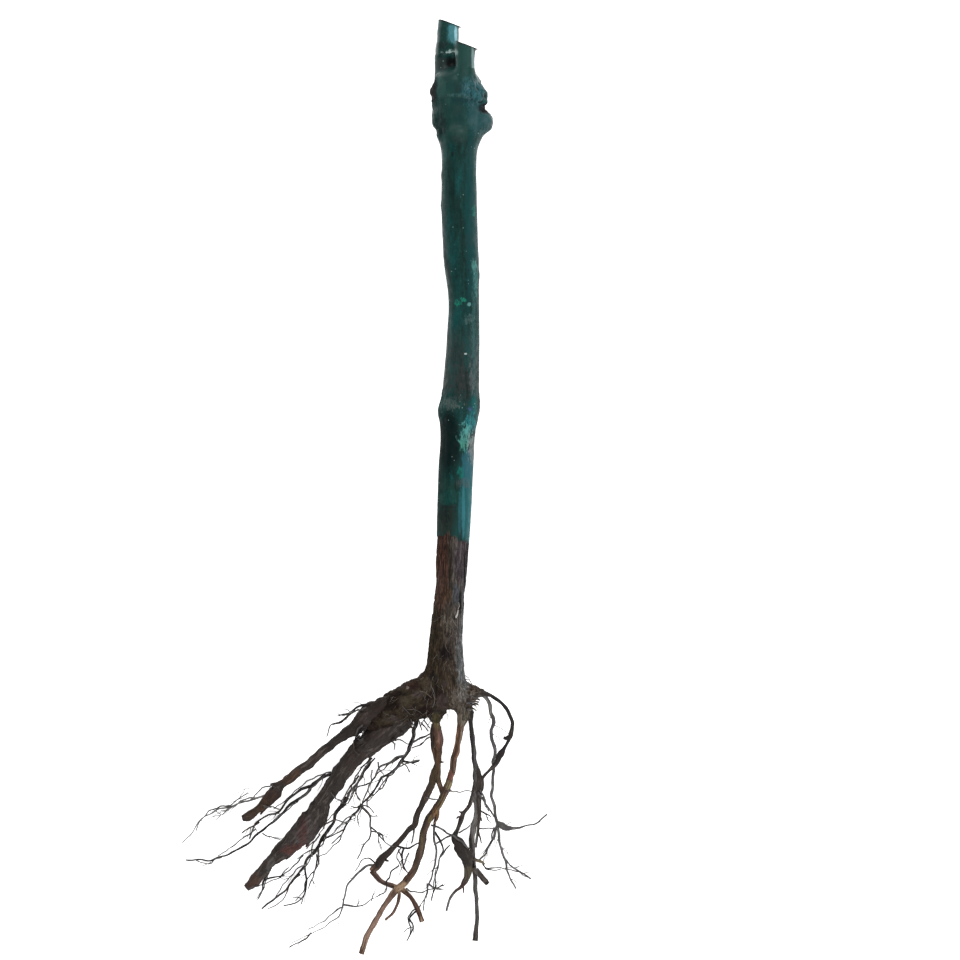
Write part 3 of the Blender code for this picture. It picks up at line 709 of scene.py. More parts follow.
BROWN_ROOT_PATCHES = [
    # the middle root is nearly black lower down, with a buff stub at its top
    ((-13.4, -44), (3.4, 6.4), 0.85, (0.03, 0.022, 0.016), 0.2),
    ((-17.6, -54.5), (4.2, 8.5), 0.9, (0.02, 0.016, 0.014), 0.12),
    ((-23.5, -66), (6.5, 9.5), 0.92, (0.018, 0.015, 0.014), 0.1),
    ((-34.5, -77), (9, 8.5), 0.92, (0.018, 0.015, 0.014), 0.1),
    ((-11.6, -18), (1.4, 8), 0.92, (0.009, 0.007, 0.006), 0.2),
    ((-10.3, -33), (0.7, 7), 0.8, (0.012, 0.008, 0.006), 0.3),
    ((-8.2, -32), (0.7, 6), 0.55, (0.18, 0.085, 0.038), 0.3),
    ((-6.8, -18), (1.3, 5.5), 0.7, (0.23, 0.12, 0.11), 0.2),
    ((-8.6, -10.5), (2.6, 4.2), 0.85, (0.19, 0.15, 0.068), 0.3),
    ((-8.8, -26), (2, 7), 0.6, (0.13, 0.05, 0.028), 0.3),
    ((-9.4, -17), (2, 4), 0.35, (0.1, 0.045, 0.03), 0.3),
    ((-10, -39), (2.2, 6), 0.75, (0.052, 0.03, 0.012), 0.3),
    ((-36, -90.5), (6, 4), 0.8, (0.12, 0.07, 0.062), 0.2),
    ((-20, -103), (4.6, 8), 0.75, (0.07, 0.03, 0.022), 0.2),
    # the brown one: orange where it was rubbed, pale at its end
    ((3.4, -7.5), (4.2, 5), 0.92, (0.165, 0.145, 0.11), 0.25),
    ((1, -20), (2.4, 11), 0.55, (0.25, 0.105, 0.052), 0.3),
    ((3, -24), (0.8, 12), 0.6, (0.27, 0.215, 0.16), 0.3),
    ((-2.2, -37.5), (1.6, 2.6), 0.6, (0.33, 0.12, 0.085), 0.3),
    ((-3.2, -42), (2, 2.6), 0.8, (0.33, 0.27, 0.14), 0.3),
    ((-7, -51), (2.2, 5), 0.6, (0.17, 0.12, 0.04), 0.3),
    ((-9.8, -55.6), (1.5, 3), 0.7, (0.3, 0.15, 0.045), 0.4),
    ((-12.6, -59.4), (1, 2.6), 0.7, (0.22, 0.17, 0.05), 0.3),
    ((-17.6, -76), (3.6, 17), 0.8, (0.072, 0.05, 0.033), 0.3),
    ((-16.6, -74), (5.5, 17), 0.6, (0.06, 0.04, 0.028), 0.3),
    # painted shade along the brown root's edges in the next three patches, and a pink painted highlight in
    # the fourth
    ((-17, -64.5), (0.6, 4.2), 0.75, (0.014, 0.009, 0.007), 0.3),
    ((-19.2, -73), (0.6, 4.6), 0.75, (0.014, 0.009, 0.007), 0.3),
    ((-14.5, -70), (0.5, 4), 0.6, (0.042, 0.014, 0.012), 0.3),
    ((-17, -71), (0.8, 8), 0.5, (0.15, 0.088, 0.086), 0.3),
    ((-9.5, -34), (4, 10), 0.55, (0.048, 0.033, 0.015), 0.35),
    ((-16.8, -68), (0.8, 9), 0.6, (0.12, 0.096, 0.034), 0.3),
    ((-27.5, -93.5), (4, 3), 0.6, (0.43, 0.29, 0.18), 0.3),
    ((-39, -110), (9, 16), 0.7, (0.35, 0.22, 0.165), 0.2),
    ((-31, -104), (3.2, 6), 0.6, (0.2, 0.105, 0.08), 0.3),
]

# %% Root and fibre skins
ROOT_BUMP, ROOT_BUMP_DEPTH, ROOT_GLOSS = 0.6, 0.0006, 0.25
ROOT_PATCH_LEVEL, ROOT_PATCH_DEPTH = 8, 60


def root_material(name, dark, middle, light, blotch, fineness=1.1, rough=0.85, stripes=0.0, patches=()):
    """Dry root skin: dark cracks, lighter strands, long dark stripes, and patches of another tone."""
    made, tree, surface, place, height, cracks = new_finish(name, ROOT_GLOSS, fineness)
    skin = ramp(tree, height, (0.36, dark), (0.50, middle), (0.64, light))
    blotches = span(tree, noise_node(tree, place, 0.09, 3, 0.6), 0.50, 0.62)
    skin = mix(tree, times(tree, blotches, 0.7), skin, blotch)
    skin = lay_patches(tree, place, skin, patches, ROOT_PATCH_LEVEL, ROOT_PATCH_DEPTH)
    if stripes:
        stripe = streak_noise(tree, attribute(tree, "grain", "Vector"), (0.55, 0.55, 0.12), 3, 0.6)
        skin = mix(tree, times(tree, span(tree, stripe, 0.50, 0.60), stripes), skin, dark)
    skin = mix(tree, times(tree, cracks, 0.55), skin, dark)
    link(tree, skin, surface["Base Color"])
    shine = span(tree, height, 0.35, 0.65, rough - 0.15, min(1.0, rough + 0.1))
    link(tree, shine, surface["Roughness"])
    raise_strands(tree, surface, height, ROOT_BUMP, ROOT_BUMP_DEPTH)
    return made


# tones of the cracks, the skin, its strands and its blotches
DARK_ROOT = (0.009, 0.007, 0.006), (0.04, 0.031, 0.027), (0.096, 0.08, 0.071), (0.045, 0.03, 0.023)
BROWN_ROOT = (0.02, 0.011, 0.007), (0.13, 0.07, 0.044), (0.36, 0.25, 0.185), (0.075, 0.042, 0.028)
FIBRE_TONES = {
    "black fibre": ((0.008, 0.007, 0.007), (0.026, 0.023, 0.022), (0.08, 0.07, 0.066), (0.01, 0.009, 0.009)),
    "grey fibre": ((0.04, 0.038, 0.038), (0.12, 0.113, 0.111), (0.25, 0.236, 0.228), (0.055, 0.05, 0.05)),
    "brown fibre": ((0.014, 0.01, 0.008), (0.05, 0.035, 0.028), (0.15, 0.11, 0.085), (0.02, 0.014, 0.012)),
    "bleached fibre": ((0.11, 0.106, 0.105), (0.25, 0.24, 0.235), (0.42, 0.405, 0.395), (0.15, 0.143, 0.14)),
    "tan thread": ((0.06, 0.048, 0.036), (0.14, 0.114, 0.088), (0.3, 0.26, 0.215), (0.08, 0.062, 0.046)),
    "torn flake": ((0.25, 0.235, 0.21), (0.48, 0.46, 0.43), (0.72, 0.7, 0.67), (0.4, 0.37, 0.33)),
}
dark_root = root_material("dark root skin", *DARK_ROOT, patches=DARK_ROOT_PATCHES)
brown_root = root_material(
    "brown root skin", *BROWN_ROOT, rough=0.75, stripes=0.75, patches=BROWN_ROOT_PATCHES
)
black_fibre, grey_fibre, brown_fibre, bleached_fibre, tan_thread, torn_flake = [
    root_material(name, *tones, fineness=1.5) for name, tones in FIBRE_TONES.items()
]
print("root and fibre skins:", 2 + len(FIBRE_TONES))

# %% [markdown]
# ## Bark and wax
#
# The stem wears two coats. Below, bare bark, reddish on the left and grey-violet on the right. Above, green
# wax: dark where it is thin, blue-green where it is thick, and scuffed at the knee half-way up. Two materials
# would leave a hard edge between them, so it is one, mixed by the `wax` attribute, with patches as the roots
# have them.

# %% Patches on the wax
SCUFF, PALE_SCUFF = (0.075, 0.24, 0.215), (0.3, 0.44, 0.42)
BRIGHT_GREEN, WAX_SHADE = (0.012, 0.17, 0.115), (0.006, 0.014, 0.012)
WAX_PATCHES = [
    # bark that shows through thin wax, above the knee and above the wax's edge
    ((4.5, 157.5), (7.5, 8.5), 0.8, (0.026, 0.028, 0.028), 0.5),
    ((4.5, 175), (7.5, 14), 0.45, (0.02, 0.032, 0.032), 0.5),
    ((9, 171), (1.8, 20), 0.5, (0.038, 0.058, 0.062), 0.8),
    ((7.6, 157.5), (0.8, 4.4), 0.8, WAX_SHADE, 0.3),
    ((5.6, 160.5), (0.7, 5), 0.9, WAX_SHADE, 0.2),
    ((8.4, 160), (1.8, 7.5), 0.5, (0.11, 0.122, 0.126), 0.9),
    ((3.4, 150.6), (6.4, 2.6), 0.7, (0.006, 0.022, 0.02), 0.4),
    ((5.6, 163.4), (1.7, 0.7), 0.7, WAX_SHADE, 0.4),
    ((9, 165), (0.6, 2.4), 0.75, WAX_SHADE, 0.4),
    ((-4.5, 90), (6.5, 8), 0.7, (0.016, 0.02, 0.015), 0.35),
    ((-5, 92), (3, 5), 0.8, (0.004, 0.008, 0.007), 0.5),
    ((0, 86), (2.2, 7), 0.6, (0.006, 0.04, 0.036), 0.5),
    ((7.5, 230), (2.6, 3.4), 0.6, (0.026, 0.024, 0.03), 0.35),
    ((-7.2, 226), (1.6, 12), 0.5, (0.04, 0.03, 0.03), 0.5),
    ((-2, 168), (8, 16), 0.4, (0.038, 0.038, 0.036), 0.45),
    # very dark wax under the knee, made darker on the stem's left side as painted shade
    ((-2.5, 129), (6.4, 18), 0.95, (0.001, 0.008, 0.007), 0.15),
    ((-6, 106), (4.6, 13), 0.6, (0.001, 0.014, 0.012), 0.3),
    # thick blue-green wax on the right side, with strips of painted highlight and, higher up, painted shade
    ((6.4, 102), (3.8, 24), 0.85, (0.004, 0.082, 0.092), 0.2),
    ((6.2, 118), (3.4, 9), 0.65, (0.016, 0.086, 0.112), 0.3),
    # painted highlight in the next two patches: narrow bright strips down the right side
    ((4.2, 95), (1, 15), 0.45, (0.045, 0.19, 0.225), 0.15),
    ((2.4, 93), (0.9, 13), 0.3, (0.032, 0.165, 0.205), 0.2),
    ((3.6, 108.5), (3.6, 2.6), 0.6, (0.058, 0.064, 0.07), 0.6),
    ((-3, 107), (5, 3.6), 0.5, (0.012, 0.04, 0.03), 0.6),
    ((7.6, 92), (1, 14), 0.5, (0.012, 0.14, 0.15), 0.4),
    # painted shade in this patch: the right side of the upper stem darkened against the window's reflection
    ((8.5, 242), (3.6, 50), 0.75, (0.0005, 0.04, 0.04), 0.3),
    ((9.2, 188), (1, 30), 0.5, (0.038, 0.105, 0.106), 0.7),
    ((1.5, 205), (4, 22), 0.4, (0.007, 0.066, 0.062), 0.5),
    # teal band with a dark lower edge
    ((-1.5, 101.5), (8, 4), 0.45, (0.008, 0.072, 0.058), 0.5),
    ((-3.6, 96.8), (5.4, 0.8), 0.6, WAX_SHADE, 0.3),
    ((2.8, 113.5), (2, 3), 0.8, (0.004, 0.135, 0.11), 0.4),
    # scuffs at the knee
    ((9, 144), (2.4, 7), 0.8, (0.002, 0.048, 0.05), 0.39),
    ((9.6, 147.4), (1.2, 4.2), 0.3, (0.01, 0.18, 0.165), 0.5),
    ((7.6, 145.4), (1.4, 1.3), 0.65, (0.04, 0.07, 0.18), 0.5),
    ((7.6, 138), (3.2, 5.5), 0.8, (0.016, 0.18, 0.2), 0.7),
    ((5.2, 132), (3.2, 6.5), 0.8, (0.085, 0.29, 0.265), 0.8),
    ((4.4, 127.5), (2, 4), 0.7, (0.05, 0.23, 0.175), 0.7),
    ((8.4, 126), (2, 7.5), 0.7, (0.19, 0.2, 0.2), 0.9),
    ((-2.6, 147.5), (5, 3.2), 0.6, (0.095, 0.125, 0.115), 0.9),
    # single flakes and drips
    ((1.3, 198.2), (2, 1.6), 0.9, BRIGHT_GREEN, 0.6),
    ((4.2, 199.6), (1.5, 1.3), 0.9, BRIGHT_GREEN, 0.6),
    ((7.2, 197.4), (1.1, 1.1), 0.8, (0.11, 0.26, 0.255), 0.3),
    ((9.4, 244), (0.8, 3), 0.7, BRIGHT_GREEN, 0.5),
    ((9.6, 216), (1.2, 3), 0.8, SCUFF, 0.6),
    ((10.6, 209), (1, 9), 0.5, SCUFF, 0.8),
    ((5.3, 172.8), (0.75, 0.5), 0.75, (0.46, 0.54, 0.51), 0.2),
    ((7, 190), (2.6, 2.2), 0.5, (0.08, 0.13, 0.13), 0.8),
    ((6.2, 154), (0.7, 4.2), 0.9, WAX_SHADE, 0.3),
    ((-1.2, 272.3), (0.7, 1.2), 0.8, WAX_SHADE, 0.3),
    # the graft: painted shade in its folds, thicker wax on its right shoulder
    ((8.5, 304), (6.4, 8.5), 0.62, (0.042, 0.145, 0.175), 0.4),
    ((11.5, 291), (6.5, 9), 0.5, (0.026, 0.084, 0.094), 0.3),
    ((17, 288), (3.5, 4), 0.5, (0.05, 0.096, 0.104), 0.4),
    # the fold that closed over the cut: a painted highlight on its lip and painted shade in the hollow under
    # it
    ((1.8, 304.6), (2.6, 3), 0.6, (0.006, 0.026, 0.025), 0.35),
    ((1.8, 301.2), (6.6, 1.2), 0.42, (0.06, 0.13, 0.13), 0.4),
    ((3.6, 298.7), (6, 1.3), 0.6, (0.005, 0.026, 0.03), 0.35),
    ((-7, 305.5), (3, 6), 0.4, (0.034, 0.09, 0.076), 0.3),
    # painted shade in the next three patches: the pits on the graft's left side and the notch on its right
    ((-11.4, 304.5), (2.6, 8), 0.92, (0.007, 0.008, 0.008), 0.35),
    ((-7.2, 287), (3.4, 5.4), 0.92, (0.005, 0.008, 0.007), 0.45),
    ((15.2, 295.2), (4, 2.6), 0.94, (0.004, 0.005, 0.007), 0.2),
    ((-6.5, 317.5), (4.6, 3.6), 0.85, (0.024, 0.036, 0.035), 0.1),
    ((-6, 291), (5, 9), 0.45, (0.003, 0.024, 0.021), 0.3),
    ((1.6, 311.8), (0.6, 0.6), 0.6, PALE_SCUFF, 0.3),
    ((19.2, 287), (1, 2), 0.6, (0.09, 0.06, 0.07), 0.3),
]
# the hole between the shoots: dark brown, and darkened further with painted shade
HOLE_AND_PAINTED_SHADE = ((-1.9, 318.5), (2.7, 3.2), 0.88, (0.011, 0.009, 0.01), 0.2)

# %% Patches on the bare bark
SPLIT = (0.004, 0.003, 0.003)
BARK_PATCHES = [
    # reddish bark on the left, a dark seam, then grey-violet strands
    ((-6.4, 68), (4.8, 24), 0.85, (0.15, 0.069, 0.05), 0.25),
    ((-6.6, 71), (1.8, 7), 0.6, (0.25, 0.105, 0.072), 0.4),
    ((-4, 53.5), (3.6, 4.8), 0.75, (0.19, 0.112, 0.06), 0.25),
    ((0.8, 53), (2.4, 6.5), 0.6, (0.15, 0.185, 0.225), 0.3),
    ((-2.2, 66), (1.3, 14), 0.6, (0.062, 0.062, 0.044), 0.35),
    ((3.4, 70), (4.2, 12), 0.7, (0.175, 0.135, 0.165), 0.3),
    ((5.8, 40), (2.2, 34), 0.6, (0.23, 0.255, 0.28), 0.35),
    ((4.1, 18), (3.8, 20), 0.8, (0.4, 0.43, 0.435), 0.35),
    ((4, 38), (2.4, 16), 0.5, (0.4, 0.41, 0.42), 0.45),
    ((4.8, 65), (0.45, 9), 0.95, SPLIT, 0.2),
    ((2.6, 48.5), (0.5, 6.5), 0.95, SPLIT, 0.3),
    # a dark bruise, tan fibres over it, and matted earth at the crown
    ((-4.2, 24), (3.9, 4.7), 0.9, (0.03, 0.02, 0.022), 0.35),
    ((-4.5, 39), (2.6, 4.6), 0.75, (0.33, 0.27, 0.2), 0.5),
    ((2, 2), (6, 7.5), 0.85, (0.46, 0.395, 0.34), 0.45),
    ((11, 2), (5, 4), 0.65, (0.32, 0.29, 0.265), 0.5),
    ((-11, 0), (5, 5), 0.5, (0.06, 0.036, 0.032), 0.5),
    ((1.6, 44.8), (0.55, 2), 0.95, SPLIT, 0.2),
    ((0, 41.6), (0.55, 1.6), 0.95, SPLIT, 0.2),
    ((-12, -7), (9, 4), 0.6, (0.042, 0.03, 0.026), 0.3),
    ((-15.3, -5), (4.6, 3.8), 0.8, (0.04, 0.02, 0.018), 0.3),
    ((-32.5, -1), (6.5, 4.6), 0.9, (0.034, 0.02, 0.013), 0.3),
    ((-24.2, 0), (4.5, 3.4), 0.7, (0.175, 0.14, 0.088), 0.3),
    ((-14.7, 8.9), (4, 3.2), 0.7, (0.21, 0.158, 0.098), 0.3),
    ((-20.8, 7.6), (3.6, 3), 0.65, (0.125, 0.062, 0.048), 0.3),
    ((-23.6, 6.7), (1, 0.8), 0.8, (0.65, 0.52, 0.49), 0.35),
    ((-14.2, 1.1), (2.8, 2.4), 0.75, (0.03, 0.016, 0.014), 0.3),
    ((-6.4, 0), (4, 4.6), 0.7, (0.18, 0.128, 0.12), 0.3),
    ((-11.2, 12.5), (1.5, 3.4), 0.8, (0.016, 0.012, 0.011), 0.35),
    ((-9.4, 8.6), (1.6, 2.4), 0.7, (0.018, 0.013, 0.011), 0.5),
    ((-0.4, 9.5), (1, 4.6), 0.6, (0.022, 0.018, 0.016), 0.6),
    ((-9.4, -9), (2.6, 3.6), 0.75, (0.23, 0.19, 0.095), 0.3),
    ((4.2, -6.5), (3.4, 5), 0.75, (0.3, 0.262, 0.205), 0.35),
    ((-7.6, 56), (4, 12), 0.5, (0.2, 0.11, 0.085), 0.3),
    ((6.2, 70), (1.6, 10), 0.6, (0.12, 0.1, 0.11), 0.3),
]

# %% Dull places
# (x, y), (half-width, half-height), added roughness, raggedness
DULL_WAX = [
    ((-1, 302), (7.5, 9), 0.4, 0.1),
    ((-11, 304), (3.6, 9), 0.45, 0.1),
    ((-7.2, 287), (4, 8), 0.4, 0.1),
    ((14.4, 296), (3.6, 2.8), 0.5, 0.1),
    ((4.6, 320), (5.6, 16), 0.3, 0.1),
    ((-8, 120), (3.4, 45), 0.3, 0.1),
]
DULL_SHOOTS = [
    ((-2.2, 318.4), (5.4, 4.8), 0.6, 0.1),
    ((4.6, 320), (5.6, 16), 0.3, 0.1),
]


def dulled(tree, place, shine, dull_places):
    """Adds the roughness of each dull place to a shine."""
    patches = [(middle, size, 1.0, (rough,) * 3, rag) for middle, size, rough, rag in dull_places]
    return math_node(tree, "ADD", shine, lay_patches(tree, place, (0.0, 0.0, 0.0), patches))


# %% Coats of wax
WAX_DEEP, WAX_MIDDLE, WAX_TEAL = (0.004, 0.02, 0.017), (0.006, 0.038, 0.034), (0.005, 0.064, 0.061)
CLOUD_DEEP, CLOUD_MIDDLE, CLOUD_PALE = (0.007, 0.032, 0.029), (0.009, 0.041, 0.037), (0.016, 0.05, 0.043)


def wax_colour(tree, place):
    """Green wax over bark, thick in some places and thin in others."""
    runs = streak_noise(tree, place, (0.20, 0.035, 0.20), 4, 0.55, 0.4)
    colour = ramp(tree, runs, (0.36, WAX_DEEP), (0.50, WAX_MIDDLE), (0.66, WAX_TEAL))
    fine = streak_noise(tree, place, (0.9, 0.2, 0.9), 4, 0.7)
    return mix(tree, span(tree, fine, 0.55, 0.80, 0.0, 0.5), colour, (0.030, 0.080, 0.072))


def smooth_wax(tree, place):
    """The even wax of the shoots, which runs down over the front of the graft."""
    return mix(tree, 0.5, wax_colour(tree, place), (0.016, 0.058, 0.049))


def cloudy_wax(tree, place):
    """The even wax on the front of the graft, in soft wide clouds."""
    clouds = streak_noise(tree, place, (0.11, 0.09, 0.11), 2, 0.4)
    return ramp(tree, clouds, (0.38, CLOUD_DEEP), (0.52, CLOUD_MIDDLE), (0.64, CLOUD_PALE))


def pale_specks(tree, place, colour):
    """Drops and dust, a few tenths of a millimetre wide, in some stretches only."""
    beads = add(tree, "ShaderNodeTexVoronoi", in_Scale=0.30)
    link(tree, place, beads.inputs["Vector"])
    speck = span(tree, beads.outputs["Distance"], 0.05, 0.11, 1.0, 0.0)
    stretch = span(tree, noise_node(tree, place, 0.06, 2), 0.48, 0.60)
    return mix(tree, times(tree, speck, times(tree, stretch, 0.6)), colour, PALE_SCUFF)


def stem_wax(tree, place):
    """The wax of the cane and the graft, mottled and gritty, with its patches and specks."""
    mottle = streak_noise(tree, place, (0.5, 0.22, 0.5), 5, 0.7)
    wax = mix(tree, 1.0, wax_colour(tree, place), ramp(tree, mottle, (0.35, 0.66), (0.65, 1.0)), "MULTIPLY")
    grit = streak_noise(tree, place, (1.9, 0.9, 1.9), 3, 0.8)
    wax = mix(tree, 1.0, wax, ramp(tree, grit, (0.38, 0.82), (0.55, 1.0), (0.68, 1.3)), "MULTIPLY")
    wax = mix(tree, times(tree, attribute(tree, "even"), 0.85), wax, cloudy_wax(tree, place))
    return pale_specks(tree, place, lay_patches(tree, place, wax, WAX_PATCHES))


# %% Bare bark
# soil that stuck to the crown, from black through red-brown to olive and violet-grey
EARTH = [
    (0.38, (0.026, 0.014, 0.012)),
    (0.47, (0.08, 0.05, 0.036)),
    (0.54, (0.128, 0.102, 0.06)),
    (0.62, (0.16, 0.12, 0.112)),
]
BROWN_BARK, GREY_BARK, LEFT_BARK = (0.14, 0.096, 0.064), (0.215, 0.18, 0.16), (0.098, 0.068, 0.04)


def bark_colour(tree, place, x, y, height):
    """Strands of bark: brown near the crown, grey higher up, darkest in the cracks."""
    tint = mix(tree, span(tree, y, 4, 40), BROWN_BARK, GREY_BARK)
    tint = mix(tree, span(tree, x, -10, 2), LEFT_BARK, tint)
    earthy = times(tree, span(tree, y, 4, 18, 0.85, 0.0), span(tree, x, -6, 2, 1.0, 0.0))
    tint = mix(tree, earthy, tint, ramp(tree, noise_node(tree, place, 0.17, 3, 0.6), *EARTH))
    tint = lay_patches(tree, place, tint, BARK_PATCHES)
    tone = ramp(tree, height, (0.37, 0.07), (0.50, 0.24), (0.65, 0.78))
    tone = mix(tree, times(tree, earthy, 0.6), tone, (0.32, 0.32, 0.32))
    return mix(tree, 1.0, tint, tone, "MULTIPLY")


# %% Stem skin
STEM_GLOSS, STEM_FINENESS, STEM_BUMP_DEPTH, BARK_ROUGHNESS = 0.12, 1.7, 0.0007, 0.92
# near-black painted shade for the hollows of the bark and of the wax
BARK_HOLLOW_SHADE, WAX_HOLLOW_SHADE = (0.008, 0.006, 0.005), (0.005, 0.009, 0.008)


def stem_material():
    made, tree, surface, place, height, _ = new_finish("waxed bark", STEM_GLOSS, STEM_FINENESS)
    axes = add(tree, "ShaderNodeSeparateXYZ")
    link(tree, place, axes.inputs[0])
    x, y = axes.outputs["X"], axes.outputs["Y"]
    waxed = attribute(tree, "wax")
    # painted shade in the hollows: the cracks of the bare bark, under the graft's fold and in its crinkles
    hollow_shade = span(tree, attribute(tree, "hollow"), 0.30, 0.80, 0.0, 0.8)
    on_front = times(tree, span(tree, y, 305, 314), span(tree, x, -2, 1))

    bark = mix(tree, hollow_shade, bark_colour(tree, place, x, y, height), BARK_HOLLOW_SHADE)
    wax = mix(tree, hollow_shade, stem_wax(tree, place), WAX_HOLLOW_SHADE)
    wax = mix(tree, on_front, wax, smooth_wax(tree, place))
    # the hole between the shoots: dark brown with painted shade
    wax = lay_patches(tree, place, wax, [HOLE_AND_PAINTED_SHADE])
    link(tree, mix(tree, waxed, bark, wax), surface["Base Color"])

    shine = span(tree, noise_node(tree, place, 0.35, 3), 0.35, 0.65, 0.42, 0.62)
    shine = math_node(tree, "SUBTRACT", shine, times(tree, span(tree, y, 262, 292), 0.12))
    shine = math_node(tree, "SUBTRACT", shine, times(tree, on_front, 0.18))
    rough = add(tree, "ShaderNodeMix", data_type="FLOAT")
    for number, source in ((0, waxed), (2, BARK_ROUGHNESS), (3, dulled(tree, place, shine, DULL_WAX))):
        link(tree, source, rough.inputs[number])
    link(tree, rough.outputs[0], surface["Roughness"])
    raise_strands(tree, surface, height, span(tree, waxed, 0.0, 1.0, 0.9, 0.15), STEM_BUMP_DEPTH)
    return made


waxed_bark = stem_material()
print("wax patches:", len(WAX_PATCHES), "bark patches:", len(BARK_PATCHES))

# %% Wax on the pruned shoots
SHOOT_GLOSS, SHOOT_FINENESS, SHOOT_BUMP, SHOOT_BUMP_DEPTH = 0.22, 0.7, 0.15, 0.0005
CUT_SHADE = (0.016, 0.013, 0.012)
SHOOT_PATCHES = [
    # painted highlight in the next two patches: down the back shoot, brightest in its middle
    ((-0.6, 333.2), (3.4, 6.5), 0.75, (0.06, 0.215, 0.245), 0.2),
    ((0.4, 332.6), (0.9, 5.4), 0.8, (0.32, 0.6, 0.67), 0.2),
    # painted shade in this patch: the back shoot's left side
    ((-6.8, 328), (2.6, 14), 0.5, (0.012, 0.028, 0.026), 0.25),
    ((-5.6, 326.8), (4, 2.2), 0.8, (0.01, 0.017, 0.018), 0.5),
    # painted highlights in the next two patches: pale glints round the node's ring
    ((-6.4, 322.6), (1.4, 1.2), 0.55, (0.18, 0.27, 0.25), 0.5),
    ((-1.4, 322.8), (2.9, 2.1), 0.95, (0.36, 0.48, 0.45), 0.39),
    ((-6, 318.5), (5, 3.6), 0.9, (0.026, 0.038, 0.037), 0.08),
    HOLE_AND_PAINTED_SHADE,
    ((3.6, 321), (4.6, 15), 0.4, (0.01, 0.048, 0.039), 0.2),
    # painted highlight down the front shoot in this patch, and painted shade along its right edge in the next
    ((8.9, 321), (0.7, 10), 0.65, (0.2, 0.3, 0.3), 0.25),
    ((10.2, 321), (0.6, 10), 0.6, (0.012, 0.018, 0.022), 0.25),
]


def shoot_material():
    made, tree, surface, place, height, _ = new_finish("green wax", SHOOT_GLOSS, SHOOT_FINENESS)
    wax = lay_patches(tree, place, smooth_wax(tree, place), SHOOT_PATCHES)
    link(tree, mix(tree, attribute(tree, "hollow"), wax, CUT_SHADE), surface["Base Color"])
    shine = span(tree, noise_node(tree, place, 0.5, 3), 0.35, 0.65, 0.14, 0.30)
    link(tree, dulled(tree, place, shine, DULL_SHOOTS), surface["Roughness"])
    raise_strands(tree, surface, height, SHOOT_BUMP, SHOOT_BUMP_DEPTH)
    return made


green_wax = shoot_material()
print("shoot patches:", len(SHOOT_PATCHES))

# %% [markdown]
# ## The stem
#
# Stem, callus and root crown are one piece of wood that grew together, with no seam to show. They could be
# sculpted from one tube. Here rough limbs and lumps are pushed into each other, and a voxel Remesh melts them
# into one skin, which a Smooth modifier softens. It is even enough to raise the bark on, vertex by vertex.

# %% Melt the stem together
BLANK_STEP, BLANK_SIDES, BLANK_RINGS = 2, 32, 20
STEM_VOXEL, STEM_SMOOTHING = 0.62, 12


def melt_stem():
    blanks = [draw_limb(through(limb, BLANK_STEP), BLANK_SIDES) for limb in (STEM, *STEM_BRANCHES)]
    for centre, half_sizes in STEM_LUMPS:
        deselect()
        middle = Vector(centre) * MM + Vector(crown)
        bpy.ops.mesh.primitive_uv_sphere_add(
            segments=BLANK_SIDES, ring_count=BLANK_RINGS, radius=MM, location=middle, scale=half_sizes
        )
        bpy.ops.object.transform_apply(location=True, rotation=False, scale=True)
        blanks.append(bpy.context.active_object)
    stem = weld(join("stem_skin", blanks))
    voxels = stem.modifiers.new("melt", "REMESH")
    voxels.mode = "VOXEL"
    voxels.voxel_size = STEM_VOXEL * MM
    soften = stem.modifiers.new("soften", "SMOOTH")
    soften.factor = 0.5
    soften.iterations = STEM_SMOOTHING
    bpy.ops.object.modifier_apply(modifier="melt")
    bpy.ops.object.modifier_apply(modifier="soften")
    return stem


# %% [markdown]
# Bark could be carved with a height picture, but that would need an image. So the relief is the sum of a few
# things that a grower would name: strands and cracks in the bare bark, the step where the wax ends, the
# swelling at each knot, and on the graft a fold where the callus closed over the cut. Knots and pits are
# named one by one. The hollows that come out are kept, and their colour is darkened as painted shade.

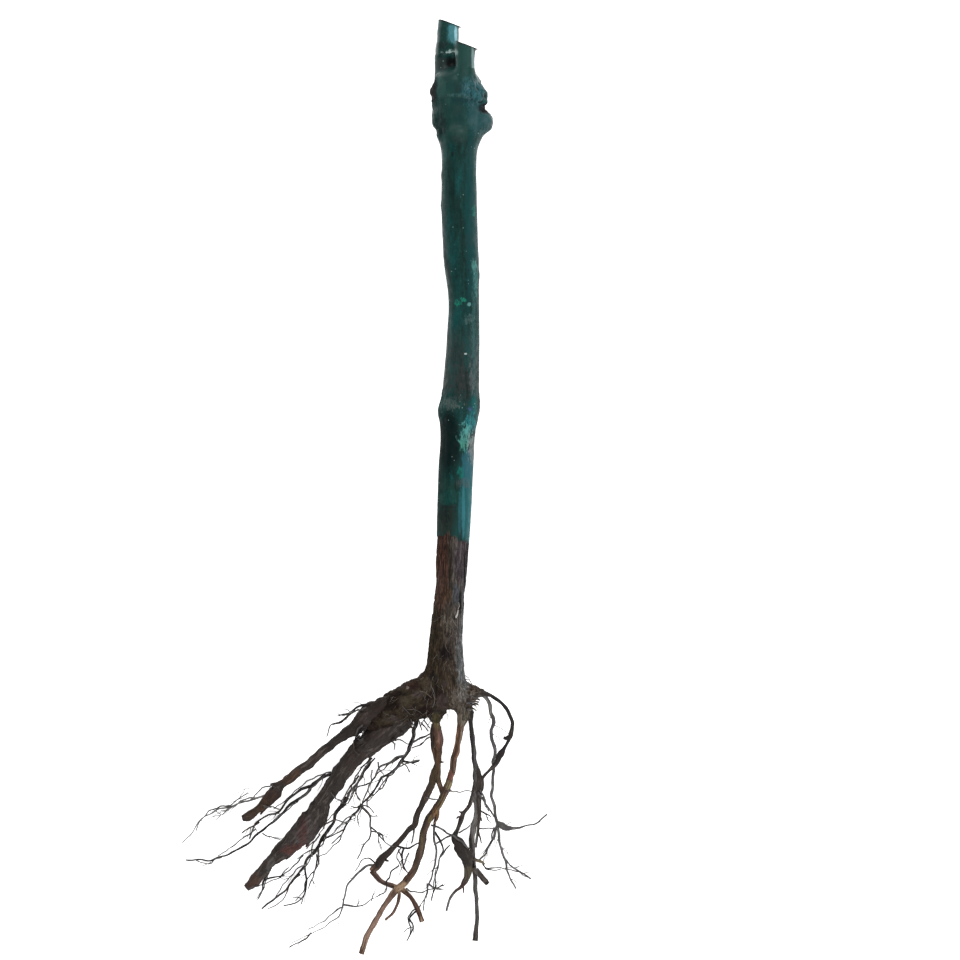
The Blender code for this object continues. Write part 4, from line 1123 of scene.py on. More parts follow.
# %% Knots, pits and folds
# centre, reach, rise
MARKS = [
    # shoulders of the graft
    ((7, 305, 25), (5, 6, 6), 0.6),
    ((-5, 305.5, 21), (5, 5, 6), 0.5),
    ((16.5, 287, 17), (4, 4.5, 6), 0.8),
    ((-1, 290, 27), (7, 6, 5), 0.5),
    # pits and folds round it
    ((14.5, 296, 19), (2.6, 1.6, 5), -1),
    ((-11.5, 309, 14), (1.8, 2, 4), -1),
    ((-12, 304.5, 14), (1.6, 1.4, 4), 0.7),
    ((-12, 301, 14), (1.6, 1.4, 4), -0.8),
    ((-8, 289, 20), (2, 2.4, 3), -1.3),
    ((-6.5, 283.5, 20), (1.6, 2.2, 3), -1),
    ((-10, 284, 14), (1.6, 1.6, 4), -0.9),
    ((-1.4, 318, 15), (2.4, 2.8, 4), -2.6),
    # the node of the back shoot
    ((-4, 326.5, 12), (6, 2.6, 6), 0.5),
    ((-4, 321.8, 14), (5, 1.4, 4), 0.4),
    ((-7, 316, 12), (3, 3, 5), -0.3),
    # knee half-way up, and smaller knots
    ((-6.5, 145, 16), (3, 4, 6), 0.8),
    ((10.5, 148, 17), (3, 5, 6), 0.6),
    ((3, 141, 24.5), (4, 5, 4), 0.5),
    ((2.5, 152.5, 24), (5, 1.6, 4), -0.5),
    ((6.2, 158, 22), (0.8, 5, 4), -0.7),
    ((-8.2, 222, 15), (1.8, 3.4, 4), 0.9),
    ((-6.8, 262, 15), (1.6, 2, 4), 0.4),
    ((-6.8, 247, 15), (1.6, 2, 4), 0.4),
    ((7.5, 230, 20), (2.2, 2.6, 4), 0.3),
    ((1.3, 199, 23), (2.4, 2.2, 3), 0.3),
    ((10.8, 212, 16), (1.8, 3, 4), 0.5),
    ((-2.5, 96.3, 24), (6, 0.7, 6), -0.3),
    ((-1.5, 101, 24), (7, 3, 6), 0.35),
    # splits in the bare bark, and its bruise
    ((4.8, 65, 24), (0.55, 9, 5), -0.9),
    ((2.6, 48.5, 25), (0.6, 6.5, 4), -0.9),
    ((-2.2, 66, 25), (0.6, 14, 4), -0.4),
    ((-5, 22.5, 27), (3.2, 4, 4), -0.8),
]


def read_skin(thing):
    """The points in millimetres from the crown, and the normals."""
    points = (read_vectors(thing, "co").astype(float) - crown) / MM
    return points, read_vectors(thing, "normal").astype(float)


def store(thing, name, values):
    """Keeps one number for every vertex, for the materials to read."""
    attribute = thing.data.attributes.new(name, "FLOAT", "POINT")
    attribute.data.foreach_set("value", values.astype(np.float32))


def smoothstep(value, low, high):
    """0 below low, 1 above high, and an even slope between."""
    t = np.clip((value - low) / (high - low), 0, 1)
    return t * t * (3 - 2 * t)


def marks_rise(points):
    """What the knots and pits add at each point."""
    return sum(
        amount * np.exp(-np.sum(((points - centre) / reach) ** 2, axis=1)) for centre, reach, amount in MARKS
    )


# %% Bark and wax on the cane
WAX_EDGE, WAX_EDGE_SLOPE, WAX_EDGE_WAVE, WAX_EDGE_SOFT, WAX_THICK = 82.2, -0.62, 1.6, 0.45, 0.28
WAX_DRIP, DRIP_PLACE, DRIP_WIDTH = 1.4, -3.4, 1.3
LEFT_ROOTS_TURN = math.radians(52)
KNEE_HEIGHT, KNEE_REACH = 148, 14


def stem_grain(points):
    """Where each point is across and along the grain, which turns from the stem into the left roots."""
    x, y, z = points.T
    turn = smoothstep(-x, 8, 26) * smoothstep(-y, -14, 2) * LEFT_ROOTS_TURN
    px, py = x + 10, y - 4
    across = np.cos(turn) * px - np.sin(turn) * py
    along = np.sin(turn) * px + np.cos(turn) * py
    return np.stack([across, z, along / GRAIN_LENGTH], 1)


def waxed_part(points):
    """1 where the wax covers the bark. Its edge falls to the right, waves, and has one drip."""
    x, y, z = points.T
    waved = fractal(np.stack([x * 0.45, z * 0.45, y * 0.12], 1) + 51, 3)
    edge = WAX_EDGE + WAX_EDGE_SLOPE * np.clip(x, 0, None) + WAX_EDGE_WAVE * waved
    edge += WAX_DRIP * np.exp(-(((x - DRIP_PLACE) / DRIP_WIDTH) ** 2))
    return smoothstep(y, edge - WAX_EDGE_SOFT, edge + WAX_EDGE_SOFT)


# %% The graft
FOLD_HEIGHT, FOLD_RISE, FOLD_REACH, FOLD_DEPTH = 300.8, 0.65, 6, 0.2


def graft_sides(x, y):
    """Where the graft is, and which of its sides are rough callus."""
    graft = smoothstep(y, 276, 284) * smoothstep(-y, -326, -312)
    shoulder = smoothstep(x, 2, 9) * smoothstep(y, 293, 299)
    rough = np.maximum(shoulder, 0.6 * smoothstep(-x, 7, 11)) * (1 - smoothstep(y, 306, 313))
    return graft, np.maximum(rough, 0.45 * smoothstep(x, 9, 14) * smoothstep(-y, -299, -293))


def fold_sides(points, knob):
    """Where the front is, and on it the lip of the fold and the hollow under it."""
    x, y, z = points.T
    fold = y - (FOLD_HEIGHT - 0.05 * (x + 7) - 0.5 * np.clip(x - 9, 0, None) + 0.5 * knob)
    front = smoothstep(z, 12, 18)
    over = smoothstep(fold, -0.6, 0.8) * (1 - smoothstep(fold, 0.8, FOLD_REACH))
    return front, over, np.exp(-(((fold + 0.5) / 0.8) ** 2))


# %% Raise the bark and the wax
CEILING = 1.2  # how far below the top of the solids the skin starts to flatten


def raise_skin(stem):
    points, normals = read_skin(stem)
    x, y, _ = points.T
    grain = stem_grain(points)
    bend = fractal(grain * (0.12, 0.12, 0.5), 2)[:, None] * 2.0
    strand = fractal((grain + bend) * (0.42, 0.42, 0.55), 3)
    thread = fractal((grain + bend) * (1.0, 1.0, 0.9) + 31, 2)
    lump = fractal(points * (0.16, 0.05, 0.16) + 7, 2)
    knob = fractal(points * 0.30 + 19, 3)
    crinkle = fractal(points * (0.5, 0.38, 0.5) + 77, 2)
    crack = np.clip(np.abs(strand) * 5, 0, 1) - 1

    bare = 0.45 * strand + 0.55 * crack * (thread > -0.6) + 0.22 * thread + 0.35 * lump
    bare += 0.6 * knob * smoothstep(-y, -16, -4)
    graft, rough_side = graft_sides(x, y)
    coated = 0.08 * strand + 0.22 * lump + 0.03 * thread + graft * (0.18 * knob + 0.75 * rough_side * crinkle)
    coated += np.exp(-(((y - KNEE_HEIGHT) / KNEE_REACH) ** 2)) * (0.25 * crinkle + 0.10 * thread)
    wax = waxed_part(points)
    front, lip, under = fold_sides(points, knob)
    rise = bare * (1 - wax) + (coated + WAX_THICK) * wax + marks_rise(points)
    rise += front * (FOLD_RISE * lip - FOLD_DEPTH * under)

    points = points + normals * rise[:, None]
    room = box_high[2] - CEILING
    above = np.clip(points[:, 2] - room, 0, None)
    points[:, 2] = np.minimum(points[:, 2], room) + CEILING * (1 - np.exp(-above / CEILING))
    write_points(stem, points)
    # painted shade: under the fold and in the crinkles of the graft's rough sides, and in the bare bark's
    # cracks
    folds = 0.4 * under * front + rough_side * np.clip(-crinkle * 1.3, 0, 1)
    store(stem, "wax", wax)
    store(stem, "hollow", np.clip(0.6 * -crack * (1 - wax) + wax * graft * folds, 0, 1))
    store(stem, "even", graft * (1 - np.clip(1.5 * rough_side, 0, 1)))
    store_grain(stem, grain)


stem = melt_stem()
raise_skin(stem)
finish_piece(stem, waxed_bark, "waxed_bark", "stem")

# %% [markdown]
# ## The pruned shoots
#
# A shoot that is pruned ends flat. It could be drawn with a flat end, but secateurs leave a slant, so each
# shoot is a limb cut off with bisect, and the cut is subdivided so that it can be dished. The wax ran to the
# lower side of the cut and set there as a thin lip.

# %% Cut and dip the shoots
PRUNING_TILT, LIP, CUT_DISH = math.radians(20), 1.6, 0.35
CUT_NORMAL = (math.sin(PRUNING_TILT), math.cos(PRUNING_TILT), 0)
SHOOT_STEP, SHOOT_SIDES, SHOOT_SEED = 0.7, 40, 3


def shoot_relief(grain, _):
    lines = fractal(grain * (0.5, 0.5, 0.35), 2)
    lumps = fractal(grain * (0.25, 0.25, 1.1) + 9, 3)
    return 0.10 * lines + 0.30 * lumps


def make_shoot(name):
    line = through(SHOOTS[name], SHOOT_STEP)
    shoot = weld(draw_limb(line, SHOOT_SIDES, shoot_relief, seed=SHOOT_SEED * len(name)))
    shoot.name = shoot.data.name = name + "_skin"
    pick(shoot)
    bpy.ops.object.mode_set(mode="EDIT")
    bpy.ops.mesh.select_all(action="SELECT")
    middle = Vector(CUTS[name]) * MM + Vector(crown)
    bpy.ops.mesh.bisect(plane_co=middle, plane_no=CUT_NORMAL, use_fill=True, clear_outer=True)
    bpy.ops.mesh.poke()
    bpy.ops.mesh.subdivide(number_cuts=3)
    bpy.ops.object.mode_set(mode="OBJECT")
    points, normals = read_skin(shoot)
    away = points - CUTS[name]
    height = away @ CUT_NORMAL
    across = np.hypot(away[:, 0], away[:, 2])
    on_cut = height > -0.02
    points += normals * (marks_rise(points) * ~on_cut)[:, None]
    lip = smoothstep(away[:, 0], 1.5, 5.0) * smoothstep(height, -0.8, 0.0) * smoothstep(across, 3.0, 4.8)
    points[:, 0] += LIP * lip
    points[:, 1] -= CUT_DISH * on_cut * (1 - smoothstep(across, 2.5, 4.6)) + 0.4 * LIP * lip
    write_points(shoot, points)
    store(shoot, "hollow", 0.8 * smoothstep(height, -1.1, -0.3))
    finish_piece(weld(shoot), green_wax, "green_wax", name)


for name in SHOOTS:
    make_shoot(name)

# %% [markdown]
# ## The main roots
#
# Old roots have thick bark that splits lengthwise, and young ones are smooth. They could have a relief each.
# One function serves both, because its strength grows with the root's thickness. Torn flaps, knobs and stubs
# are short limbs of their own, sunk into the root that carries them.

# %% Flaps, knobs and stubs
ROOT_DETAILS = {
    "root_far_left": [
        taper(1.8, 0.7, (-84.5, -41, 5.6), (-88.5, -42, 5), (-92.5, -42.6, 4.6)),
        taper(1.7, 0.5, (-91, -49, 3.6), (-94, -53, 3), (-97.6, -57.6, 2.2)),
    ],
    "root_thick": [
        # the torn edge of the wide end, a grey strip that hangs off it, and a broken stub at the shoulder
        taper(2.6, 1.2, (-70, -62, 7), (-73.6, -69, 6), (-79.6, -73.2, 5.2), (-87, -78.6, 4.2)),
        taper(1.6, 0.5, (-72, -68.5, 6), (-73.6, -71.6, 5.4), (-74.6, -73.8, 5)),
        taper(1.3, 0.4, (-76, -71, 6), (-77.6, -73.2, 5.4), (-79.6, -74.8, 5)),
        taper(1.5, 0.4, (-80.5, -75, 5.4), (-82.6, -77.8, 4.8), (-84.8, -80, 4.4)),
        taper(1.4, 0.7, (-88, -78, 5), (-91.6, -82.5, 4.6), (-94.2, -88, 4)),
        taper(4.2, 2, (-34, -16, 13.5), (-40, -22.5, 12.4), (-44, -28, 11.4)),
        taper(1.3, 0.5, (-100, -91, 2.8), (-103, -92.4, 2.6), (-105.4, -92.6, 2.4)),
    ],
    "root_middle": [
        taper(1.2, 0.7, (-10.6, -12, 14.5), (-11.6, -18.5, 13.8), (-10.8, -25, 13), (-9.6, -31, 12)),
        taper(1.2, 0.7, (-8, -13, 14.8), (-6.9, -19.5, 14.4), (-7, -23, 14), (-8.2, -28, 12.6)),
        taper(0.7, 0.3, (-7.8, -30.6, 12.4), (-6.4, -30.9, 12.6), (-5.6, -30.8, 12.8)),
        taper(0.5, 0.3, (-20.4, -64, 6), (-20.9, -68, 5.4), (-21.4, -71.5, 5)),
        taper(0.9, 0.4, (-36, -79.5, 4.2), (-34.4, -80.6, 4), (-33.2, -80.8, 3.8)),
    ],
    "root_brown": [
        taper(0.9, 0.6, (-3.8, -42.6, 16.5), (-2.8, -44.4, 16), (-2.2, -45.4, 15.6)),
        taper(1, 0.5, (-8.6, -54, 14), (-8.8, -58.5, 12.8), (-10.6, -61.6, 11.8)),
        taper(1.3, 0.9, (5.8, -4, 20.6), (5.6, -8.5, 20.6), (4.4, -12, 21)),
    ],
    "root_right": [
        # a dark flake of bark that stands off it on the right
        taper(0.8, 0.7, (11.6, -50, 7.6), (12.2, -58, 6.2), (11.4, -66, 5), (10.4, -74, 3.8)),
        taper(0.5, 0.3, (12, -57, 6.4), (12.9, -59, 6.2), (13.4, -60.8, 6)),
        taper(0.6, 0.3, (11.6, -66, 5), (12.6, -69, 4.8), (13.2, -72, 4.6)),
    ],
    "root_arch": [
        taper(1.2, 0.7, (26.6, -18.4, 17.4), (25.2, -18.8, 17.2), (24.2, -18.4, 17.2)),
    ],
    "root_knotted": [
        taper(0.9, 0.3, (5.2, -56, 9.4), (3, -56.2, 9.6), (2, -55.6, 9.8)),
        taper(0.8, 0.3, (3.6, -58.5, 9.2), (1.6, -58.4, 9.4), (0.8, -59.4, 9.4)),
        taper(0.7, 0.3, (4, -91, 4.6), (4.2, -94, 4.2), (4.3, -97, 3.4)),
        taper(1, 0.5, (7.4, -79.5, 6.6), (12.6, -80.8, 5), (14.8, -82.4, 4.4)),
        taper(1.2, 1.4, (9.4, -84.5, 5), (12.6, -88, 3.8), (15.4, -91.2, 3.2)),
    ],
}

# %% Draw the main roots
ROOT_STEP, ROOT_WANDER, ROOT_REACH = 0.8, 0.45, 6
ROOT_SIDES = {"root_thick": 48, "root_far_left": 32}
THIN_ROOT_SIDES, THICK_ROOT = 18, 3.5
BROWN_ROOTS = ("root_middle", "root_middle_hook", "root_brown")


def root_relief(grain, thick):
    strand = fractal(grain * (0.7, 0.7, 0.9), 3)
    lump = fractal(grain * (0.25, 0.25, 1.6) + 5, 3)
    crack = np.clip(np.abs(strand) * 4, 0, 1) - 1
    folds = fractal(grain * (0.32, 0.32, 0.22) + 40, 2) * np.clip(thick - THICK_ROOT, 0, 2.5)
    return thick * 0.08 * strand + np.minimum(thick, THICK_ROOT) * (0.13 * crack + 0.22 * lump) + 0.45 * folds


def make_root(name):
    limbs = []
    for number, limb in enumerate(ROOTS[name] + ROOT_DETAILS.get(name, [])):
        line = wander(through(limb, ROOT_STEP), ROOT_WANDER, ROOT_REACH, len(name) + 3.1 * number)
        sides = ROOT_SIDES.get(name, THIN_ROOT_SIDES)
        limbs.append(draw_limb(line, sides, root_relief, seed=len(name) * 2.3 + number))
    skin, slot = (brown_root, "brown_root") if name in BROWN_ROOTS else (dark_root, "dark_root")
    finish_piece(weld(join(name + "_skin", limbs)), skin, slot, name)


for name in ROOTS:
    make_root(name)


# %% [markdown]
# ## The fibres
#
# Fine roots could be a particle system of hairs, but a rule in code gives the same plant each time and lets
# each rootlet look for room. It leaves its fibre at 30 to 60 degrees, is 4 to 9 mm long, bends forward, keeps
# off the ground and off the other pieces. The seed is the mass's own name. Finer hairs follow the same rule
# with a smaller angle. Between them run long strands, which are given by their place from above only,
# because their height is that of the roots that they cross.

# %% Long strands
STRANDS = {
    "fibres_far_left_tip": [
        [(-91, -43), (-96.5, -44), (-99.5, -47.5), (-102.5, -50), (-107.5, -52)],
        [(-100, -49), (-106, -50), (-112, -54), (-118, -56)],
        [(-112, -53), (-119, -54), (-124, -57), (-128, -61), (-130, -66)],
    ],
    "fibres_crown_left": [
        [(-44, -13), (-47, -15.5), (-49.6, -19), (-48.6, -22), (-46, -21), (-45.6, -17.5), (-47.5, -14.5)],
        [(-46, -12), (-48.6, -14.6), (-49.4, -17.6), (-47.6, -19.6), (-45.4, -18.4)],
        [(-47.5, -17.5), (-50.5, -21), (-50, -25), (-48, -27)],
        [(-44, -3), (-50, -5), (-55, -7), (-58.5, -6.5)],
        [(-48, -4), (-53, -8), (-57, -11), (-61, -12)],
    ],
    "fibres_between": [
        [(-62, -36), (-68.5, -38), (-74, -41), (-80, -46), (-87, -52), (-91, -55)],
        [(-66, -39), (-73, -45), (-79, -51), (-86, -57), (-93, -63)],
        [(-96.5, -67), (-93.5, -68.5), (-87.5, -70)],
        [(-100, -65), (-106, -69), (-112, -74), (-119, -78.5)],
        [(-88, -55), (-92, -54), (-96, -53)],
        [(-117, -79), (-124, -82), (-130, -80.5)],
    ],
    "fibres_under_thick": [
        [(-41.5, -29), (-45.5, -32.5), (-49, -37.5), (-51.5, -42.5), (-53, -48.5)],
        [(-40, -29), (-43.5, -33.5), (-47, -39), (-50, -45), (-52.5, -50), (-56, -54)],
        [(-38.5, -31), (-37.5, -35), (-35.5, -37.5)],
        [(-48, -38), (-53, -44), (-57, -52), (-62, -58), (-66, -64)],
        [(-55, -52), (-59, -50), (-62, -46)],
        [(-61.5, -60.5), (-55, -61), (-50, -59.5)],
        [(-55, -65), (-60, -67.5), (-65, -70), (-68.5, -72.5)],
        [(-56, -66), (-59, -71.5), (-63.5, -76), (-68.5, -79)],
        [(-64, -66), (-66, -72), (-71, -77), (-74, -83), (-78, -87)],
        [(-69.5, -77.5), (-69, -82.5), (-71, -86), (-74.5, -91), (-76, -96), (-80, -101)],
        [(-77.5, -87.5), (-82.5, -92.5), (-84.5, -97.5), (-88.5, -102.5), (-94, -105)],
        [(-74, -82), (-80, -86), (-86, -93), (-90, -99)],
        [(-70, -75), (-75, -77), (-79, -80)],
        [(-67.6, -67.5), (-70.5, -71.5), (-72, -75.5), (-71.5, -79)],
        [(-69.5, -70.5), (-72.5, -72.2), (-74.5, -75)],
        [(-60, -60), (-64, -62), (-68, -67)],
    ],
    "fibres_thick_tip": [
        [(-76, -78), (-80, -82.5), (-87.5, -89), (-96, -92.5), (-103, -94.5)],
        [(-94, -86), (-95, -92), (-98, -98)],
    ],
    "fibres_net_upper": [
        [(-31, -19.5), (-27.5, -20), (-23.5, -22)],
        [(-27, -15.5), (-25, -16), (-23.5, -15)],
        [(-31, -20), (-30, -22.5), (-30.5, -25)],
        [(-25, -6), (-23, -10), (-21, -14), (-20.5, -19)],
        [(-19, -6.5), (-18, -11), (-16.5, -15)],
        [(-15.5, -10), (-12.5, -14)],
        [(-17, -11), (-13.5, -15.5)],
        [(-21.5, -24), (-17.5, -22), (-14.5, -20), (-11.5, -18)],
        [(-22, -9), (-20, -15), (-21.5, -22), (-26, -28)],
        [(-26.5, -30), (-29.5, -35), (-33.5, -39), (-37.5, -44), (-41.5, -49), (-44.5, -51.5)],
        [(-17.5, -30), (-23.5, -31.5), (-27.5, -33), (-31.5, -36), (-35, -40), (-38.5, -45)],
        [(-27, -31), (-24, -33.5), (-22.5, -36)],
        [(-41.5, -35), (-42, -40), (-43.5, -45), (-42, -49)],
        [(-49, -42.5), (-49.5, -46), (-48.5, -50)],
        [(-33, -37), (-36, -43), (-40, -47), (-45, -50)],
        [(-28, -29), (-34, -33), (-39, -37), (-42, -41)],
    ],
    "fibres_net_lower": [
        [(-47, -53), (-43, -54), (-40.5, -57)],
        [(-46, -52), (-49, -54), (-52, -53.5)],
        [(-44, -54), (-43.5, -50), (-41, -47.5)],
        [(-42, -66), (-38, -66.5), (-36.5, -68), (-35, -71.5), (-30.5, -73.5)],
        [(-46, -53), (-48.5, -59), (-48, -64)],
        [(-45, -56), (-41.5, -58.5), (-39, -58)],
        [(-50, -58), (-55, -60), (-60, -66), (-66, -70)],
    ],
    "fibres_middle_tip": [
        [(-38.5, -84), (-42, -80), (-45.5, -79.5), (-50, -86)],
        [(-56, -104), (-60, -106), (-66, -111), (-74, -115.5)],
        [(-28, -83), (-31.5, -86), (-34, -91), (-35, -96), (-39.5, -99)],
        [(-72, -117), (-77, -121), (-83, -124)],
    ],
    "fibres_inner": [
        [(-28.5, -75), (-26.5, -80), (-25.5, -84), (-23, -87)],
        [(-23, -76.5), (-25, -81), (-26, -84)],
        [(-20.5, -66), (-21, -70), (-22, -72)],
        [(-14.5, -48.5), (-11, -49.2), (-7.6, -49.3)],
        [(-27, -74), (-29, -78), (-27, -83)],
    ],
    "fibres_brown_side": [
        [(-10.5, -72.5), (-3.5, -68.5), (-1, -67.5)],
        [(-2.5, -72.5), (-6.5, -77.5), (-9, -83), (-10.5, -90), (-11.5, -100)],
        [(-24.5, -94.5), (-22, -96), (-17.5, -96.5), (-11, -95), (-6, -92.5)],
        [(-14, -92), (-14.5, -98), (-18, -104)],
    ],
    "fibres_brown_low": [
        [(-20, -105), (-23.5, -109), (-22, -115), (-24, -121)],
    ],
    "fibres_right": [
        [(12.5, -45), (14.5, -49), (15.5, -51.5), (17, -56)],
        [(12.5, -47.5), (16, -53), (20, -59), (21, -61)],
        [(12, -64.5), (20.5, -64.5)],
        [(14, -81), (15, -84), (25, -84.5), (33.5, -87.5), (38, -90)],
        [(15, -84.5), (19, -86), (23, -85)],
        [(19.5, -64), (18, -71), (14, -77.5)],
    ],
    "fibres_cross": [
        [(-3, -44.5), (-1.5, -45.5), (8.5, -45.5)],
        [(2, -66.5), (4.5, -65), (7.5, -63)],
    ],
}
# strands that stand out: (half-thickness, path), all grey
BOLD_STRANDS = {
    "fibres_far_left_tip": [
        (0.16, [(-103, -44.4), (-107, -45.6), (-109.5, -47)]),
        (0.16, [(-104, -48.4), (-109, -50.4), (-114, -53)]),
    ],
    "fibres_brown_side": [
        (0.55, [(-12, -62.5), (-7.5, -64), (-3.5, -66.5), (0, -68.5), (4, -71.5), (7.5, -75), (9.6, -79),
                (10.4, -86)]),
        (0.42, [(-10.5, -72.5), (-3.5, -68.5), (-1, -67.5)]),
    ],
    "fibres_right": [
        (0.2, [(20, -12.6), (23.5, -14.2), (27.4, -16.6)]),
        (0.45, [(11.6, -46), (14.5, -50.5), (16.6, -54), (19.6, -59)]),
        (0.35, [(12.4, -45), (14.6, -48.6), (15.4, -51.6)]),
    ],
    "fibres_under_thick": [
        (0.45, [(-41.5, -29), (-45, -34), (-48, -40), (-51, -46), (-53.5, -52)]),
    ],
}

# %% Tones and sizes of the fibres
# the finished fibres are slimmer than their plain solids, by these factors at the start and at the tip
FIBRE_SLIM = (0.95, 0.72)
MASS_SLIM = {
    "fibres_middle_tip": (0.95, 0.4),
    "fibres_far_left_tip": (0.65, 0.5),
    "fibres_right": (1, 1),
}
# lengths, and the angles at which side shoots leave
ROOTLET_LENGTH, ROOTLET_ANGLE, ROOTLET_RISE = (4, 9), (30, 60), (-0.1, 0.3)
HAIR_LENGTH, HAIR_ANGLE, HAIRS_PER_ROOTLET = (4, 9), (5, 18), 1
# half-thickness at the start and at the end
ROOTLET_THICKNESS, HAIR_THICKNESS, STRAND_THICKNESS = (0.22, 0.1), (0.16, 0.11), (0.41, 0.25)
BOLD_TAPER = 0.7
ROOTLET_ROOM, ROOTLET_STEP, ROOTLET_TRIES = 0.8, 6, 60
CHECK_STEP, PATH_STEP, FIBRE_STEP, STRAND_LIFT = 1, 2, 1.2, 0.25
# sides of the tube, how far it wanders, and over what length
LIMB_SHAPE, SIDE_SHAPE, HAIR_SHAPE, BOLD_SHAPE = (8, 1.2, 6), (6, 1, 4), (4, 1, 4), (8, 0.7, 4)
# the limbs of a mass take its tones in turn, and everything finer takes one at random
MAIN_TONES = (black_fibre, black_fibre, brown_fibre)
SIDE_TONES = (black_fibre, grey_fibre, grey_fibre, grey_fibre, brown_fibre)
MASS_TONES = {
    "fibres_right": (grey_fibre,),
    "fibres_middle_tip": (grey_fibre,),
    "fibres_net_upper": (black_fibre, grey_fibre),
    "fibres_net_lower": (black_fibre, grey_fibre),
    "fibres_far_left_tip": (bleached_fibre, bleached_fibre, grey_fibre),
    "fibres_brown_side": (grey_fibre, black_fibre),
    "fibres_under_thick": (grey_fibre, black_fibre, black_fibre),
}
BLEACHED = ("fibres_far_left_tip",)


# %% Lay strands over the roots
def spread(name):
    return np.array([point for limb in LIMBS[name] for point in through(limb, CHECK_STEP)])


ALL_ROOTS = np.vstack([spread(name) for name in LIMBS if name != "stem"])


def fine_path(path, step):
    """A path seen from above, with a point about every step."""
    return [(point.x, point.y) for point in through([(x, y, 0, 0) for x, y in path], step)]


def rest_on_roots(path, thick, thin):
    """Gives a path the height of the roots near it, and lays it over those that it crosses."""
    points = []
    for x, y in fine_path(path, PATH_STEP):
        away = np.hypot(ALL_ROOTS[:, 0] - x, ALL_ROOTS[:, 1] - y)
        near = 1 / (away + 0.5) ** 4
        level = float((ALL_ROOTS[:, 2] * near).sum() / near.sum())
        under = ALL_ROOTS[away < ALL_ROOTS[:, 3]]
        if len(under):
            level = float((under[:, 2] + under[:, 3]).max()) + STRAND_LIFT
        points.append((x, y, max(level, thick)))
    return taper(thick, thin, *points)


# %% Side rootlets by the rule
def sprout(rule, line, angles, lengths, thick, thin):
    """One side shoot of a line."""
    i = rule.randrange(1, len(line) - 1)
    start, along = line[i].xyz, (line[i + 1].xyz - line[i].xyz).normalized()
    angle = math.radians(rule.uniform(*angles)) * rule.choice((-1, 1))
    heading = Matrix.Rotation(angle, 3, "Z") @ along
    heading.z += rule.uniform(*ROOTLET_RISE)
    length = rule.uniform(*lengths)
    middle = start + heading * length / 2
    end = middle + (heading + along).normalized() * length / 2
    for point in (middle, end):
        point.z = max(point.z, 2 * thick)
    return taper(thick, thin, start, middle, end)


def grow_rootlets(name, wanted):
    """Side rootlets of a mass that have room between the other pieces."""
    rule = random.Random(name)
    others = np.vstack([spread(other) for other in LIMBS if other != name])
    grown = []
    for _ in range(ROOTLET_TRIES):
        if len(grown) == wanted:
            break
        line = through(rule.choice(LIMBS[name]), ROOTLET_STEP)
        rootlet = sprout(rule, line, ROOTLET_ANGLE, ROOTLET_LENGTH, *ROOTLET_THICKNESS)
        path = np.array(through(rootlet, CHECK_STEP))[:, None, :3]
        room = np.linalg.norm(others[None, :, :3] - path, axis=2) - others[None, :, 3]
        if room.min() > ROOTLET_ROOM:
            grown.append(rootlet)
    return grown


# %% Grow the fibres
def fibre_relief(grain, thick):
    return thick * 0.35 * fractal(grain * (0.8, 0.8, 2.6), 2)


def slimmed(line, at_start, at_end):
    """Scales the thickness of a line, evenly from its start to its end."""
    last = len(line) - 1
    return [
        Vector((*point.xyz, point.w * (at_start + (at_end - at_start) * i / last)))
        for i, point in enumerate(line)
    ]


def draw_fibre(line, shape, path_seed, number, tone):
    """One fibre in its tone."""
    sides, amount, reach = shape
    fibre = draw_limb(wander(line, amount, reach, path_seed), sides, fibre_relief, seed=number)
    fibre.data.materials.append(tone)
    return fibre


def make_mass(name):
    count, limbs = MASSES[name]
    rule = random.Random(name + " hairs")
    rootlets = grow_rootlets(name, count)
    strands_here = [rest_on_roots(path, *STRAND_THICKNESS) for path in STRANDS.get(name, ())]
    carriers = [through(limb, PATH_STEP) for limb in limbs + strands_here if len(limb) > 2]
    hairs = [
        sprout(rule, rule.choice(carriers), HAIR_ANGLE, HAIR_LENGTH, *HAIR_THICKNESS)
        for _ in range(HAIRS_PER_ROOTLET * count)
    ]
    slim = MASS_SLIM.get(name, FIBRE_SLIM)
    tones = MASS_TONES.get(name, MAIN_TONES)
    drawn = []
    for number, limb in enumerate(limbs):
        line = slimmed(through(limb, FIBRE_STEP), *slim)
        tone = tones[number % len(tones)]
        drawn.append(draw_fibre(line, LIMB_SHAPE, number + len(name) * 1.7, number, tone))
    for number, limb in enumerate(strands_here + rootlets + hairs):
        shape = HAIR_SHAPE if limb in hairs else SIDE_SHAPE
        tone = rule.choice(tones if name in BLEACHED else SIDE_TONES)
        drawn.append(draw_fibre(through(limb, FIBRE_STEP), shape, number * 2.9, number, tone))
    for number, (thick, path) in enumerate(BOLD_STRANDS.get(name, ())):
        line = through(rest_on_roots(path, thick, thick * BOLD_TAPER), FIBRE_STEP)
        drawn.append(draw_fibre(line, BOLD_SHAPE, number * 1.9, number, grey_fibre))
    finish_piece(weld(join(name + "_twigs", drawn)), None, "fibre", name)


for name in MASSES:
    make_mass(name)

# %% [markdown]
# ## Threads and torn bark
#
# When the roots were pulled out of the soil, fine threads stayed on the crown, and strips of bark came loose.
# They could be painted on, but then none would stand out from the edge. So each thread is a path seen from
# above, dropped on the stem's skin, and its ends stand free.

